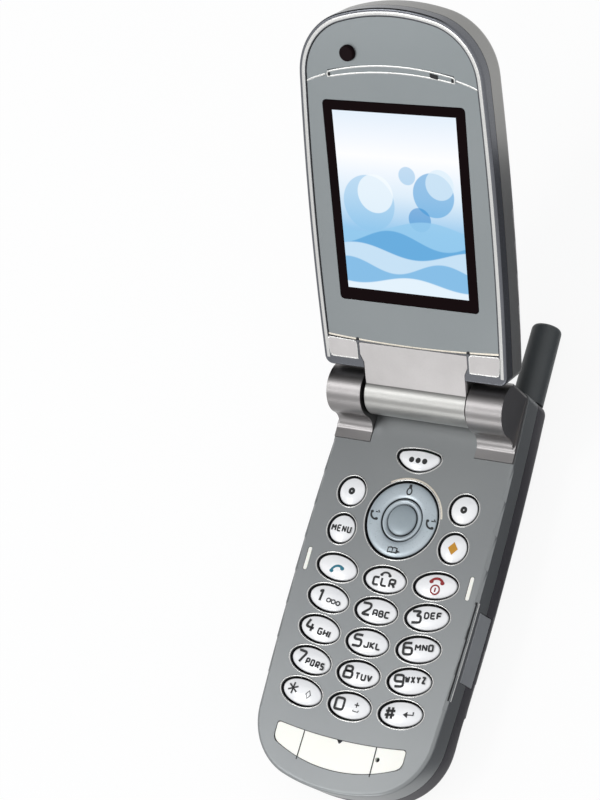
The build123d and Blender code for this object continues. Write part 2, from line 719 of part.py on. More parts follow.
def pad_face(side, grow=0.0):
    low, high = PAD_V
    inner = PAD_INNER_HALF - grow
    outer = PAD_OUTER_HALF + grow
    corners = [(inner, grow - low), (outer - PAD_SLANT, grow - low), (outer, -high - PAD_SLANT - grow),
               (inner, -high - grow)]
    face = make_face(Polyline(*[(side * x, y) for x, y in corners], close=True))
    return fillet(face.vertices(), PAD_CORNER_R + grow)


def skirt_face(grow=0.0):
    """The inner hinge cover: it widens above the neck and ends at the display plate's foot."""
    narrow = KNUCKLE_HALF + grow
    wide = SKIRT_TOP_HALF + grow
    neck_low, neck_high = SKIRT_NECK_V
    half = [(narrow, 0), (narrow, -neck_low), (wide, -neck_high), (wide, -SKIRT_TOP_V - grow)]
    return make_face(Polyline(*half, *[mirrored(point) for point in reversed(half)], close=True))


def lid_inner_frame():
    frame = slab(lid_face(), INNER_N, LID_SEAM_N)
    frame = fillet(bottom_edges(frame), RIM_EDGE_R)
    frame -= slab(frame_pocket_face() - beyond_foot(), INNER_N, PLATE_FLOOR_N)
    frame -= slab(skirt_face(FIT), INNER_N, INNER_N + SKIRT_THICK + FIT)
    for side in BOTH_SIDES:
        frame -= slab(pad_face(side, FIT), INNER_N, INNER_N + SKIRT_THICK)
    low, high = LCD_V
    frame -= Pos(0, -(low + high) / 2) * slab(Rectangle(2 * (LCD_HALF + FIT), high - low + 2 * FIT),
                                              INNER_N, LID_SEAM_N)
    frame -= upright(EAR_SPEAKER_R - 1, (INNER_N, LID_SEAM_N), 0, -EAR_SPEAKER_V)
    return frame


def display_plate():
    face = lid_face(RIM + FIT) - beyond_foot() - beyond_division(DIVISION_GAP / 2)
    return slab(face - window_face(FIT) - ear_slot_face(FIT), PLATE_TOP_N, PLATE_FLOOR_N)


def top_panel():
    face = (lid_face(RIM + FIT) & beyond_division(-DIVISION_GAP / 2)) - ear_slot_face(FIT)
    panel = slab(face, PLATE_TOP_N, PLATE_FLOOR_N)
    seat_range = (PLATE_TOP_N, PLATE_TOP_N + INNER_PLATE_THICK / 2)
    return panel - upright(BUMPER_R + FIT / 2, seat_range, *BUMPER_AT)


def main_window():
    return slab(window_face(), PLATE_TOP_N + INLAY_SINK, PLATE_FLOOR_N)


def main_lcd():
    low, high = LCD_V
    panel = slab(Rectangle(2 * LCD_HALF, high - low), PLATE_FLOOR_N, PLATE_FLOOR_N + LCD_THICK)
    return Pos(0, -(low + high) / 2) * panel


def earpiece_trim():
    return slab(ear_slot_face(), PLATE_TOP_N + INLAY_SINK, PLATE_FLOOR_N)


def earpiece_speaker():
    return upright(EAR_SPEAKER_R, (LID_SEAM_N, LID_SEAM_N + EAR_SPEAKER_THICK), 0, -EAR_SPEAKER_V)


def lid_bumper():
    low = INNER_N - BUMPER_PROUD
    dot = upright(BUMPER_R, (low, PLATE_TOP_N + INNER_PLATE_THICK / 2), *BUMPER_AT)
    return fillet(bottom_edges(dot), 0.4)


def lid_corner_pads():
    pads = [slab(pad_face(side), INNER_N - PAD_PROUD, INNER_N + SKIRT_THICK - PAD_PROUD)
            for side in BOTH_SIDES]
    return Part() + pads


def hinge_skirt():
    """The inner cover of the hinge, which runs up to the knuckle."""
    skirt = slab(skirt_face(), INNER_N, INNER_N + SKIRT_THICK)
    return skirt - along_x(AXIS_TO_OUTER + 0.05, both_ways(HALF_WIDTH))


# ---- lid, outer side ----
def sub_window_face(grow=0.0):
    """A pointed arch towards the hinge, with a hollow foot over the camera panel."""
    apex = (0, grow - SUB_APEX_V)
    foot = (SUB_FOOT[0] + grow, -SUB_FOOT[1] - grow)
    side = Spline([apex, (SUB_MID[0] + grow, -SUB_MID[1]), foot],
                  tangents=[(1, 0), (0.03, -1)])
    arch = ThreePointArc(mirrored(foot), (0, -SUB_ARCH_V - grow), foot)
    return closed_face(side, mirror(side, about=Plane.YZ), arch)


def camera_panel_face(grow=0.0):
    foot = (SUB_FOOT[0] + grow, grow - SUB_FOOT[1])
    tip = (PANEL_TIP_HALF + grow, -LID_REACH - 2)
    arch = ThreePointArc(mirrored(foot), (0, grow - SUB_ARCH_V), foot)
    return closed_face(arch, Line(foot, tip), Line(tip, mirrored(tip)),
                       Line(mirrored(tip), mirrored(foot)))


def port_face(side):
    """Half of the leaf-shaped ringer opening."""
    leaf = Pos(0, -PORT_V) * Ellipse(*PORT_SIZE)
    half = Pos(0, side * (PORT_SIZE[1] + PORT_BRIDGE) / 2 - PORT_V)
    return leaf & (half * Rectangle(2 * PORT_SIZE[0], PORT_SIZE[1]))


def indicator_box(grow=0.0):
    low, high = INDICATOR_X
    half = INDICATOR_WIDTH / 2 + grow
    return block((low - grow, high + grow), (-INDICATOR_V - half, half - INDICATOR_V),
                 (AXIS_TO_OUTER - OUTER_INLAY, AXIS_TO_OUTER))


def sub_lcd_box(grow=0.0):
    low, high = SUB_LCD_V
    top = AXIS_TO_OUTER - OUTER_INLAY
    return block(both_ways(SUB_LCD_HALF + grow), (-high - grow, grow - low), (top - SUB_LCD_THICK, top))


def lid_outer_shell():
    top = AXIS_TO_OUTER
    shell = slab(lid_face(), LID_SEAM_N + SEAM, top)
    shell = fillet(top_edges(shell), LID_EDGE_R)
    shell -= slab(lid_face(LID_EDGE_R), LID_SEAM_N, top - WALL)
    shell -= slab(lid_face(WALL), LID_SEAM_N, top - LID_EDGE_R)
    bridge = block(both_ways(KNUCKLE_HALF), (-LID_ROOT - WALL, 0), (LID_SEAM_N + SEAM, top))
    neck_range = (INNER_N + SKIRT_THICK, LID_SEAM_N + SEAM)
    neck = block(both_ways(KNUCKLE_HALF), (FIT - LID_ROOT, 0), neck_range)
    shell += bridge + neck + along_x(AXIS_TO_OUTER, both_ways(KNUCKLE_HALF))
    for side in BOTH_SIDES:
        reach = sorted((side * (KNUCKLE_HALF - PIN_IN_KNUCKLE), side * (KNUCKLE_HALF + 1)))
        shell -= along_x(PIN_R + PIN_RUNNING_FIT, reach)
        shell -= slab(port_face(side), top - WALL, top)
    shell -= slab(sub_window_face(FIT), top - OUTER_INLAY, top)
    shell -= slab(camera_panel_face(FIT), top - OUTER_INLAY, top)
    shell -= sub_lcd_box(FIT)
    shell -= indicator_box(FIT / 2)
    return shell


def sub_window():
    return slab(sub_window_face(), AXIS_TO_OUTER - OUTER_INLAY, AXIS_TO_OUTER - INLAY_SINK)


def sub_lcd():
    return sub_lcd_box()


def camera_panel():
    blank = slab(lid_face(), LID_SEAM_N + SEAM, AXIS_TO_OUTER)
    blank = fillet(top_edges(blank), LID_EDGE_R)
    panel = blank & slab(camera_panel_face(), AXIS_TO_OUTER - OUTER_INLAY, AXIS_TO_OUTER)
    panel -= upright(BEZEL_R + FIT, (0, 2 * AXIS_TO_OUTER), 0, -CAMERA_V)
    for cut in (flash_face(FIT), target_face(FIT)):
        panel -= slab(cut, 0, 2 * AXIS_TO_OUTER)
    return panel


def camera_ring():
    low = AXIS_TO_OUTER - OUTER_INLAY
    ring = slab(Circle(BEZEL_R) - Circle(LENS_WINDOW_R + FIT), low, AXIS_TO_OUTER + BEZEL_PROUD)
    return Pos(0, -CAMERA_V, 0) * fillet(top_edges(ring), 0.4)


def camera_lens():
    low = AXIS_TO_OUTER - OUTER_INLAY
    return upright(LENS_WINDOW_R, (low, AXIS_TO_OUTER + BEZEL_PROUD / 2), 0, -CAMERA_V)


def flash_face(grow=0.0):
    return Pos(0, -FLASH_V) * Ellipse(FLASH_SIZE[0] + grow, FLASH_SIZE[1] + grow)


def target_face(grow=0.0):
    return Pos(0, -TARGET_V) * Ellipse(TARGET_SIZE[0] + grow, TARGET_SIZE[1] + grow)


def flash_lenses():
    low = AXIS_TO_OUTER - OUTER_INLAY
    return Part() + [slab(face, low, AXIS_TO_OUTER) for face in (flash_face(), target_face())]


def lid_board():
    low = PLATE_FLOOR_N + LCD_THICK
    y_range = (-LCD_V[1] - LID_BOARD_BEYOND[1], -LCD_V[0] + LID_BOARD_BEYOND[0])
    board = block(both_ways(LCD_HALF), y_range, (low, low + LID_BOARD_THICK))
    pad_range = (low + LID_BOARD_THICK, AXIS_TO_OUTER - OUTER_INLAY - SUB_LCD_THICK)
    pad = block(both_ways(SUB_LCD_HALF), (-SUB_LCD_V[1], -SUB_LCD_V[0]), pad_range)
    return board + pad


# ---- write every piece ----
BASE_PIECES = {
    "base_front_cover": base_front_cover,
    "base_rear_cover": base_rear_cover,
    "battery_cover": battery_cover,
    "battery_pack": battery_pack,
    "main_board": main_board,
    "shield_can": shield_can,
    "keypad_membrane": keypad_membrane,
    "bottom_connector": bottom_connector,
    "microphone": microphone,
    "case_screws": case_screws,
    "chin_window": chin_window,
    "side_light_strips": side_light_strips,
    "side_jack_cover": side_jack_cover,
    "left_hinge_cap": lambda: hinge_cap(-1),
    "right_hinge_cap": lambda: hinge_cap(1),
    "hinge_pins": hinge_pins,
    "antenna": antenna,
    "nav_ring": nav_ring,
    "select_button": select_button,
    "side_key_upper": lambda: side_key(SIDE_KEY_Y[0]),
    "side_key_lower": lambda: side_key(SIDE_KEY_Y[1]),
}
LID_PIECES = {
    "lid_inner_frame": lid_inner_frame,
    "lid_outer_shell": lid_outer_shell,
    "hinge_skirt": hinge_skirt,
    "lid_corner_pads": lid_corner_pads,
    "display_plate": display_plate,
    "top_panel": top_panel,
    "main_window": main_window,
    "main_lcd": main_lcd,
    "earpiece_trim": earpiece_trim,
    "earpiece_speaker": earpiece_speaker,
    "lid_bumper": lid_bumper,
    "lid_board": lid_board,
    "sub_window": sub_window,
    "sub_lcd": sub_lcd,
    "camera_panel": camera_panel,
    "camera_ring": camera_ring,
    "camera_lens": camera_lens,
    "flash_lenses": flash_lenses,
    "indicator_window": indicator_box,
}


def write(name, shape, place):
    export_step(place * shape, f"parts/{name}.step")
    print(name)


def main():
    os.makedirs("parts", exist_ok=True)
    for name, make in BASE_PIECES.items():
        write(name, make(), BASE_PLACE)
    for name, spot, well in face_keys():
        write(name, spot * pressed_key(well), BASE_PLACE)
    for name, make in LID_PIECES.items():
        write(name, make(), LID_PLACE)


main()
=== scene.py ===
"""Finishes an open flip phone: paints, edges, keys with their legends, screens, camera and stage."""

import json
import math

import bmesh
import bpy
from mathutils import Matrix, Vector


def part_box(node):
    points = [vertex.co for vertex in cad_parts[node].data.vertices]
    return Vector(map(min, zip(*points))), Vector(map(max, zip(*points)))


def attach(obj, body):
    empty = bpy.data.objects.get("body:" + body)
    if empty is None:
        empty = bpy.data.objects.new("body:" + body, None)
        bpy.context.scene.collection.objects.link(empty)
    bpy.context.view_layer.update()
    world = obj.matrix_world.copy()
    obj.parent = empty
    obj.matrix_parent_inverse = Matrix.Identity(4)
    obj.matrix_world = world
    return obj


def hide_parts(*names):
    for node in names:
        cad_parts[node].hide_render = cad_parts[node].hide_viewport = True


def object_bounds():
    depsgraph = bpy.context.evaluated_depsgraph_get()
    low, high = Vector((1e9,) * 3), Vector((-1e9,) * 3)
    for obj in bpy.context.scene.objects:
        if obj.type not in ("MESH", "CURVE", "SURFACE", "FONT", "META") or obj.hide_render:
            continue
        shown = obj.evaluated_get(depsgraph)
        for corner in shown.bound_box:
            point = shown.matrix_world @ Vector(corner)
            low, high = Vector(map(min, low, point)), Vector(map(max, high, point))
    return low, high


bl_info = {
    "name": "Flip Phone Finish",
    "version": (1, 0, 0),
    "blender": (4, 5, 0),
    "location": "View3D > Sidebar > Phone",
    "description": "Dresses the frame of an open flip phone and sets its stage",
    "category": "Add Mesh",
}

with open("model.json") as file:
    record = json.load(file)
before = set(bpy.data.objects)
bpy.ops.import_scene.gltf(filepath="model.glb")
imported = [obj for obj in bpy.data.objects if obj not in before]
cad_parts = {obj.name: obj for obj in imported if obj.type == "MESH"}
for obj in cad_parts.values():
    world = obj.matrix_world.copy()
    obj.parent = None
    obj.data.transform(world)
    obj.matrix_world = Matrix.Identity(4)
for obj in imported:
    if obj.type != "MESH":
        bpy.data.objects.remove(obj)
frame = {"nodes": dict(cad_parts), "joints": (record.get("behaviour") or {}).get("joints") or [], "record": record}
CAD_BOX = [list(corner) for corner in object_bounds()]

MM = 0.001
JOINTS = {joint["name"]: joint for joint in frame["joints"]}
BODY_OF = {node: body for body, nodes in frame["record"]["behaviour"]["bodies"].items() for node in nodes}
SLOT_OF = {part["node"]: part["material_slot"] for part in frame["record"]["subparts"]}
HINGE = Vector(JOINTS["lid_hinge"]["pos_m"]) / MM
OPENING = math.radians(JOINTS["lid_hinge"]["range_deg"][1])

# Heights in mm: of the cover over the keypad rubber, of the closed lid over the cover, and of the lid's
# two faces from the hinge axis, as they are in the closed lid's own frame.
COVER_OVER_RUBBER = 2.7
CLOSING_GAP = 1.2
COVER_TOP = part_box("keypad_membrane")[1].z / MM + COVER_OVER_RUBBER
KEY_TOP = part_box("key_5")[1].z / MM
INNER_FACE = -(HINGE.z - COVER_TOP - CLOSING_GAP)
OUTER_FACE = 5.25

# The case's own sizes in mm: half widths along it, how its corners and tip run, how far it reaches, and the
# seams between its halves.
HALF_WIDTH = 24.0
CORNER_HALF, CORNER_RISE = 22.9, 15.3
CHIN_HALF, CHIN_RISE = 12.5, 1.8
LID_REACH, LID_ROOT, LID_ROOT_HALF = 91.46, 7.3, 23.5
BASE_REACH, BASE_ROOT, BASE_ROOT_HALF = 91.4, -6.2, 22.9
SEAM_INSET, SEAM_WIDTH = 0.22, 0.42
LID_SEAM_DEPTH, BASE_SEAM_DEPTH = 2.83, 5.93

# How far the display plate lies under the frame, and a print over the key that carries it, in mm.
PLATE_SINK = 0.2
PRINT_RISE = 0.01

# How near two corners of a CAD piece are when they count as one, how flat the faces are that are dissolved
# into one, how sharp the edges are that are rounded, and the cosine between faces that count as one flat.
WELD_MM = 0.002
FLAT_ANGLE = math.radians(0.02)
SHARP_ANGLE = math.radians(35)
SAME_FLAT = 0.99999

# Thickness of flat lines and half that of flat patches, in mm; how many times as high as a flat line the
# rims stand that are drawn as lines; and the sides of a turned piece.
LINE_THICK = 0.04
PATCH_HALF = 0.015
RIM_STRETCH = 5
TURNED_SIDES = 96


def lid_matrix():
    """From the closed lid's own frame, in mm, to the open lid at rest, in metres."""
    turn = Matrix.Rotation(-OPENING, 4, "X")
    return Matrix.Scale(MM, 4) @ Matrix.Translation(HINGE) @ turn


def inner_matrix(height=0.0):
    """A drawing plane on the lid's inner side: x to the right, y towards the lid's tip, z to the viewer."""
    flip = Matrix(((1, 0, 0, 0), (0, -1, 0, 0), (0, 0, -1, INNER_FACE - height), (0, 0, 0, 1)))
    return lid_matrix() @ flip


def outer_matrix(height=0.0):
    """A drawing plane on the closed lid's outside: x to the right, y towards the hinge."""
    return lid_matrix() @ Matrix.Translation((0, 0, OUTER_FACE + height))


def base_matrix(height=0.0):
    """A drawing plane on the keypad cover, in mm, with the hinge axis over y = 0."""
    return Matrix.Scale(MM, 4) @ Matrix.Translation((0, HINGE.y, COVER_TOP + height))


# ---- colours and shader nodes ----
def linear(hex_colour):
    """Turns an sRGB hex colour into linear RGBA."""
    channels = [int(hex_colour[i:i + 2], 16) / 255 for i in (0, 2, 4)]
    return [c / 12.92 if c <= 0.04045 else ((c + 0.055) / 1.055) ** 2.4 for c in channels] + [1.0]


def add(tree, kind, settings=None, values=None, links=None):
    """Adds a node with its settings, socket values and incoming links."""
    node = tree.nodes.new(kind)
    for name, value in (settings or {}).items():
        setattr(node, name, value)
    for socket, value in (values or {}).items():
        node.inputs[socket].default_value = value
    for socket, source in (links or {}).items():
        tree.links.new(source, node.inputs[socket])
    return node


def per_mm(size_mm):
    """Gives the noise scale whose features are about this size."""
    return 1.0 / (size_mm * MM)


def blank_material(name):
    """Starts a material with one shader and its output."""
    material = bpy.data.materials.new(name)
    material.use_nodes = True
    tree = material.node_tree
    tree.nodes.clear()
    shader = add(tree, "ShaderNodeBsdfPrincipled")
    add(tree, "ShaderNodeOutputMaterial", links={"Surface": shader.outputs[0]})
    return material, tree, shader


def finish(name, colour, second, metallic=0.0, roughness=0.4, spread=0.08, grain_mm=0.25,
           grain_depth_mm=0.004, cloud_mm=14.0, coat=0.0, coat_roughness=0.1, stretch=(1, 1, 1), ior=1.5):
    """A finish with slow colour drift, fine grain in its bump and uneven roughness.

    The noise's middle values, 0.35 to 0.95 of cloud and grain together, carry the drift from the first
    colour to the second, so that neither is ever seen as a patch.
    """
    material, tree, shader = blank_material(name)
    place = add(tree, "ShaderNodeTexCoord").outputs["Object"]
    place = add(tree, "ShaderNodeMapping", values={"Scale": stretch}, links={"Vector": place}).outputs[0]
    cloud = add(tree, "ShaderNodeTexNoise", values={"Scale": per_mm(cloud_mm), "Detail": 3.0},
                links={"Vector": place}).outputs[0]
    grain = add(tree, "ShaderNodeTexNoise", values={"Scale": per_mm(grain_mm), "Detail": 2.0},
                links={"Vector": place}).outputs[0]
    both = add(tree, "ShaderNodeMath", {"operation": "MULTIPLY_ADD"}, {1: 0.35}, {0: grain, 2: cloud})
    range_ = add(tree, "ShaderNodeMapRange", values={"From Min": 0.35, "From Max": 0.95},
                 links={"Value": both.outputs[0]})
    tint = add(tree, "ShaderNodeMix", {"data_type": "RGBA"}, {6: linear(colour), 7: linear(second)},
               {0: range_.outputs[0]})
    rough = add(tree, "ShaderNodeMapRange",
                values={"To Min": max(0.03, roughness - spread), "To Max": roughness + spread},
                links={"Value": grain})
    bump = add(tree, "ShaderNodeBump", values={"Strength": 0.6, "Distance": grain_depth_mm * MM},
               links={"Height": grain})
    tree.links.new(tint.outputs[2], shader.inputs["Base Color"])
    tree.links.new(rough.outputs[0], shader.inputs["Roughness"])
    tree.links.new(bump.outputs[0], shader.inputs["Normal"])
    shader.inputs["Metallic"].default_value = metallic
    shader.inputs["IOR"].default_value = ior
    shader.inputs["Coat Weight"].default_value = coat
    shader.inputs["Coat Roughness"].default_value = coat_roughness
    return material


def with_painted_edge_shade(material, colour):
    """Darkens a key's sides and edge by the mesh's "side" attribute: painted shade for the gap round it."""
    tree = material.node_tree
    shader = tree.nodes["Principled BSDF"]
    top = shader.inputs["Base Color"].links[0].from_socket
    share = add(tree, "ShaderNodeAttribute", {"attribute_name": "side"}).outputs["Fac"]
    mixed = add(tree, "ShaderNodeMix", {"data_type": "RGBA"}, {7: linear(colour)}, {0: share, 6: top})
    tree.links.new(mixed.outputs[2], shader.inputs["Base Color"])
    return material


# ---- finishes, each named for the real one ----
def keypad_lacquer(colours):
    """Silver-grey metallic lacquer sprayed on ABS: soft sheen, flakes too fine to count."""
    return finish("keypad_lacquer", colours.keypad_cover, "8b8e8f", metallic=0.9, roughness=0.42,
                  grain_mm=0.3, cloud_mm=30)


def shell_lacquer(colours):
    """Brighter silver lacquer of the lid's outside, sprayed a little coarser."""
    return finish("shell_lacquer", colours.lid_shell, "979795", metallic=0.9, roughness=0.34, grain_mm=0.4,
                  cloud_mm=40)


def plate_lacquer(colours):
    """Flat grey-green metallic lacquer round the screen, finer and more even than the shell's."""
    return finish("plate_lacquer", colours.display_plate, "84898b", metallic=0.85, roughness=0.38,
                  grain_mm=0.2, cloud_mm=35)


def satin_silver(colours):
    """Vacuum-metallised ABS under satin varnish: the silver of the lid's frame."""
    return finish("satin_silver", colours.bright_trim, "696b70", metallic=0.95, roughness=0.26, spread=0.04,
                  grain_mm=0.15, grain_depth_mm=0.002, cloud_mm=20)


def hinge_silver():
    """Smoky vacuum metal on the hinge caps, polished enough to mirror light and dark in bands."""
    return finish("smoky_hinge_metal", "7a7878", "878585", metallic=1.0, roughness=0.33, spread=0.03,
                  grain_mm=0.15, grain_depth_mm=0.0015, cloud_mm=20)


def warm_silver():
    """Pinkish silver lacquer over a fine moulded grain, as on the hinge skirt and the corner pads."""
    return finish("warm_silver", "b2afae", "c3c0bf", metallic=0.35, roughness=0.42, grain_mm=0.35,
                  grain_depth_mm=0.02, cloud_mm=10)


def dark_casing():
    """Charcoal ABS with a spark-eroded matte grain."""
    return finish("dark_casing", "29272c", "343238", roughness=0.5, spread=0.06, grain_mm=0.3,
                  grain_depth_mm=0.012)


def antenna_plastic():
    """Overmoulded dark grey elastomer, matte and faintly mottled."""
    return finish("antenna_elastomer", "34383a", "404446", roughness=0.5, grain_mm=0.35, grain_depth_mm=0.01)


def side_button_plastic():
    """Silver-filled ABS of the side keys."""
    return finish("side_button_abs", "8f9296", "a0a3a6", metallic=0.5, roughness=0.38)


def pearl_key(colours):
    """Clear polycarbonate key tops, printed pearl white from behind: glossy, milky, faintly warm."""
    material = finish("pearl_polycarbonate", colours.keys, "f1f2f4", roughness=0.22, spread=0.03,
                      grain_mm=0.5, grain_depth_mm=0.001, cloud_mm=6, coat=0.6, coat_roughness=0.05, ior=1.58)
    # The keys' sides and rounded edges darken towards 2c2e31: painted shade for the dark gap round each key.
    return with_painted_edge_shade(material, "2c2e31")


def ring_plastic():
    """Pale blue pearl lacquer of the navigation ring."""
    material = finish("ring_pearl_lacquer", "a9b5bc", "b7c1c7", metallic=0.25, roughness=0.3, grain_mm=0.25,
                      cloud_mm=8, coat=0.2)
    # The ring's edges darken towards 24272b where the mesh says so: painted shade at its gaps.
    return with_painted_edge_shade(material, "24272b")


def button_plastic():
    """Grey-blue satin polycarbonate of the middle button."""
    material = finish("button_satin_polycarbonate", "8f9ba2", "9da8ae", metallic=0.2, roughness=0.32,
                      cloud_mm=5)
    # The button's edge darkens towards 24272b where the mesh says so: painted shade at its gap.
    return with_painted_edge_shade(material, "24272b")


def highlight_lacquer():
    """Cover lacquer made lighter and glossier: a painted highlight on well rims, the lid's lines and the rail."""
    return finish("painted_highlight_lacquer", "c2c2c1", "cececc", metallic=0.85, roughness=0.24, spread=0.04,
                  grain_mm=0.15, grain_depth_mm=0.001)


def champagne_highlight():
    """Warm pale metallic colour, a painted highlight: the plate's foot line and the arc over the ring's rim."""
    return finish("champagne_painted_highlight", "d9d2c2", "e4ddd0", metallic=0.6, roughness=0.3, grain_depth_mm=0.001)


def groove_shadow():
    """Dark matte gap between two mouldings."""
    return finish("moulding_gap", "17181a", "1f2022", roughness=0.8)


def chrome():
    """Bright nickel-chrome plating on moulded rings."""
    return finish("chrome_plating", "d9dadd", "e6e7ea", metallic=1.0, roughness=0.09, spread=0.03,
                  grain_depth_mm=0.0005)


def steel():
    """Zinc-plated steel of the screws and pins."""
    return finish("zinc_plated_steel", "9a9ca0", "b0b2b5", metallic=1.0, roughness=0.3)


def cream_diffuser():
    """Opal acrylic of the chin window and light strips: milky cream, glossy."""
    material = finish("opal_acrylic", "fbfaf0", "fefdf6", roughness=0.25, spread=0.03, grain_depth_mm=0.001,
                      coat=0.4)
    shader = material.node_tree.nodes["Principled BSDF"]
    shader.inputs["Subsurface Weight"].default_value = 0.05
    shader.inputs["Subsurface Scale"].default_value = 0.5 * MM
    return material


def black_glass():
    """Screen lens, back-printed black with a wine tint, with an anti-glare film."""
    material = finish("printed_screen_lens", "0c0305", "110507", roughness=0.12, spread=0.02,
                      grain_depth_mm=0.0004)
    material.node_tree.nodes["Principled BSDF"].inputs["Specular IOR Level"].default_value = 0.04
    return material


def grey_window():
    """Back-printed blue-grey outer window, polished acrylic."""
    return finish("printed_outer_window", "98a1a9", "a6aeb5", metallic=0.2, roughness=0.14, spread=0.03,
                  grain_depth_mm=0.0006, coat=0.5, coat_roughness=0.03)


def camera_lacquer():
    """Blue-silver metallic lacquer of the camera panel."""
    return finish("camera_panel_lacquer", "8b98a4", "9aa6b0", metallic=0.6, roughness=0.3, grain_mm=0.3)


def black_rubber():
    """Carbon-black silicone rubber."""
    material = finish("black_silicone_rubber", "12070a", "1a0f12", roughness=0.55, grain_mm=0.4,
                      grain_depth_mm=0.01)
    material.node_tree.nodes["Principled BSDF"].inputs["Specular IOR Level"].default_value = 0.05
    return material


def black_plastic():
    """Carbon-black ABS of the connector, microphone and speaker housings."""
    return finish("black_moulded_abs", "141416", "1d1d20", roughness=0.45)


def board_laminate():
    """Green solder mask over glass-epoxy laminate."""
    return finish("solder_mask_laminate", "1e5a35", "2a6b42", roughness=0.35, cloud_mm=4, coat=0.2)


def battery_wrap():
    """Grey shrink wrap round the cell."""
    return finish("battery_shrink_wrap", "4a4b50", "5a5b60", roughness=0.4, cloud_mm=8)


def tinned_steel():
    """Tin-plated steel of the shield can, rolled."""
    return finish("rolled_tinplate", "b5b6b8", "c6c7c8", metallic=1.0, roughness=0.32, stretch=(1, 8, 1))


def flag_felt(name, colour):
    """Felt of the dark cards round the phone: no sheen at all."""
    return finish(name, colour, colour, roughness=0.9)


def legend_ink(name, colour):
    """Screen-printed ink: flat, a little uneven."""
    return finish(name, colour, colour, roughness=0.5, grain_mm=0.1, grain_depth_mm=0.001)


# ---- meshes ----
def link_mesh(name, mesh):
    """Puts a mesh into the scene as an object at the origin."""
    obj = bpy.data.objects.new(name, mesh)
    bpy.context.scene.collection.objects.link(obj)
    return obj


def mesh_from(name, bm, outwards=True):
    """Turns what was drawn in bm into a mesh, its faces turned outwards unless told otherwise."""
    mesh = bpy.data.meshes.new(name)
    if outwards:
        bmesh.ops.recalc_face_normals(bm, faces=bm.faces)
    bm.to_mesh(mesh)
    bm.free()
    return mesh


def baked(obj):
    """Turns an object's modifiers into its own plain mesh."""
    graph = bpy.context.evaluated_depsgraph_get()
    mesh = bpy.data.meshes.new_from_object(obj.evaluated_get(graph), preserve_all_data_layers=True,
                                           depsgraph=graph)
    obj.modifiers.clear()
    obj.data = mesh
    return obj


def dress(obj, material, body, smooth=40.0):
    """Gives a piece its material, shading and body."""
    obj.data.materials.clear()
    obj.data.materials.append(material)
    if smooth:
        obj.data.shade_smooth()
        obj.data.set_sharp_from_angle(angle=math.radians(smooth))
    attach(obj, body)
    return obj


def flat_led_normals(mesh):
    """Vertex normals led by the widest flat each vertex touches, so flats stay flat up to their edges."""
    bm = bmesh.new()
    bm.from_mesh(mesh)
    bm.faces.ensure_lookup_table()
    region, areas = {}, []
    for first in bm.faces:
        if first.index in region:
            continue
        queue, area = [first], 0.0
        region[first.index] = len(areas)
        while queue:
            face = queue.pop()
            area += face.calc_area()
            for edge in face.edges:
                for other in edge.link_faces:
                    if other.index not in region and other.normal.dot(face.normal) > SAME_FLAT:
                        region[other.index] = len(areas)
                        queue.append(other)
        areas.append(area)
    normals = []
    for vertex in bm.verts:
        led = {region[face.index]: face.normal for face in vertex.link_faces}
        total = sum((normal * areas[key] for key, normal in led.items()), Vector())
        normals.append(total.normalized() if total.length else vertex.normal.copy())
    bm.free()
    mesh.normals_split_custom_set_from_vertices(normals)


def softened(node, material, edge_mm=0.15, segments=2):
    """A copy of a CAD piece with its sharp edges rounded, as a moulded piece's are."""
    bm = bmesh.new()
    bm.from_mesh(frame["nodes"][node].data)
    bmesh.ops.remove_doubles(bm, verts=bm.verts, dist=WELD_MM * MM)
    bmesh.ops.dissolve_limit(bm, angle_limit=FLAT_ANGLE, verts=bm.verts, edges=bm.edges)
    mesh = mesh_from(node + "_finished", bm, outwards=False)
    if "custom_normal" in mesh.attributes:
        mesh.attributes.remove(mesh.attributes["custom_normal"])
    obj = link_mesh(node + "_finished", mesh)
    mesh.shade_smooth()
    bevel = obj.modifiers.new("Edges", "BEVEL")
    bevel.width = edge_mm * MM
    bevel.segments = segments
    bevel.limit_method = "ANGLE"
    bevel.angle_limit = SHARP_ANGLE
    baked(obj)
    flat_led_normals(obj.data)
    dress(obj, material, BODY_OF[node], smooth=0)
    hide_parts(node)
    return obj


def painted(node, material):
    """Gives a CAD piece that shows as it is its finish."""
    obj = frame["nodes"][node]
    obj.data.materials.clear()
    obj.data.materials.append(material)
    return obj


def rings_mesh(name, rings, matrix, closed_ends=True, sides=()):
    """Draws a skin over rings of points, each the same length, with a fan over each end.

    sides gives each ring's share of painted shade for the gap round a key, kept as the attribute "side".
    """
    bm = bmesh.new()
    layer = bm.verts.layers.float.new("side")
    loops = [[bm.verts.new(matrix @ Vector(point)) for point in ring] for ring in rings]
    for loop, side in zip(loops, sides):
        for vert in loop:
            vert[layer] = side
    for low, high in zip(loops, loops[1:]):
        for i in range(len(low)):
            j = (i + 1) % len(low)
            bm.faces.new((low[i], low[j], high[j], high[i]))
    if closed_ends:
        for loop in (loops[0], loops[-1]):
            centre = bm.verts.new(sum((v.co for v in loop), Vector()) / len(loop))
            for i in range(len(loop)):
                bm.faces.new((loop[i], loop[(i + 1) % len(loop)], centre))
    return link_mesh(name, mesh_from(name, bm))


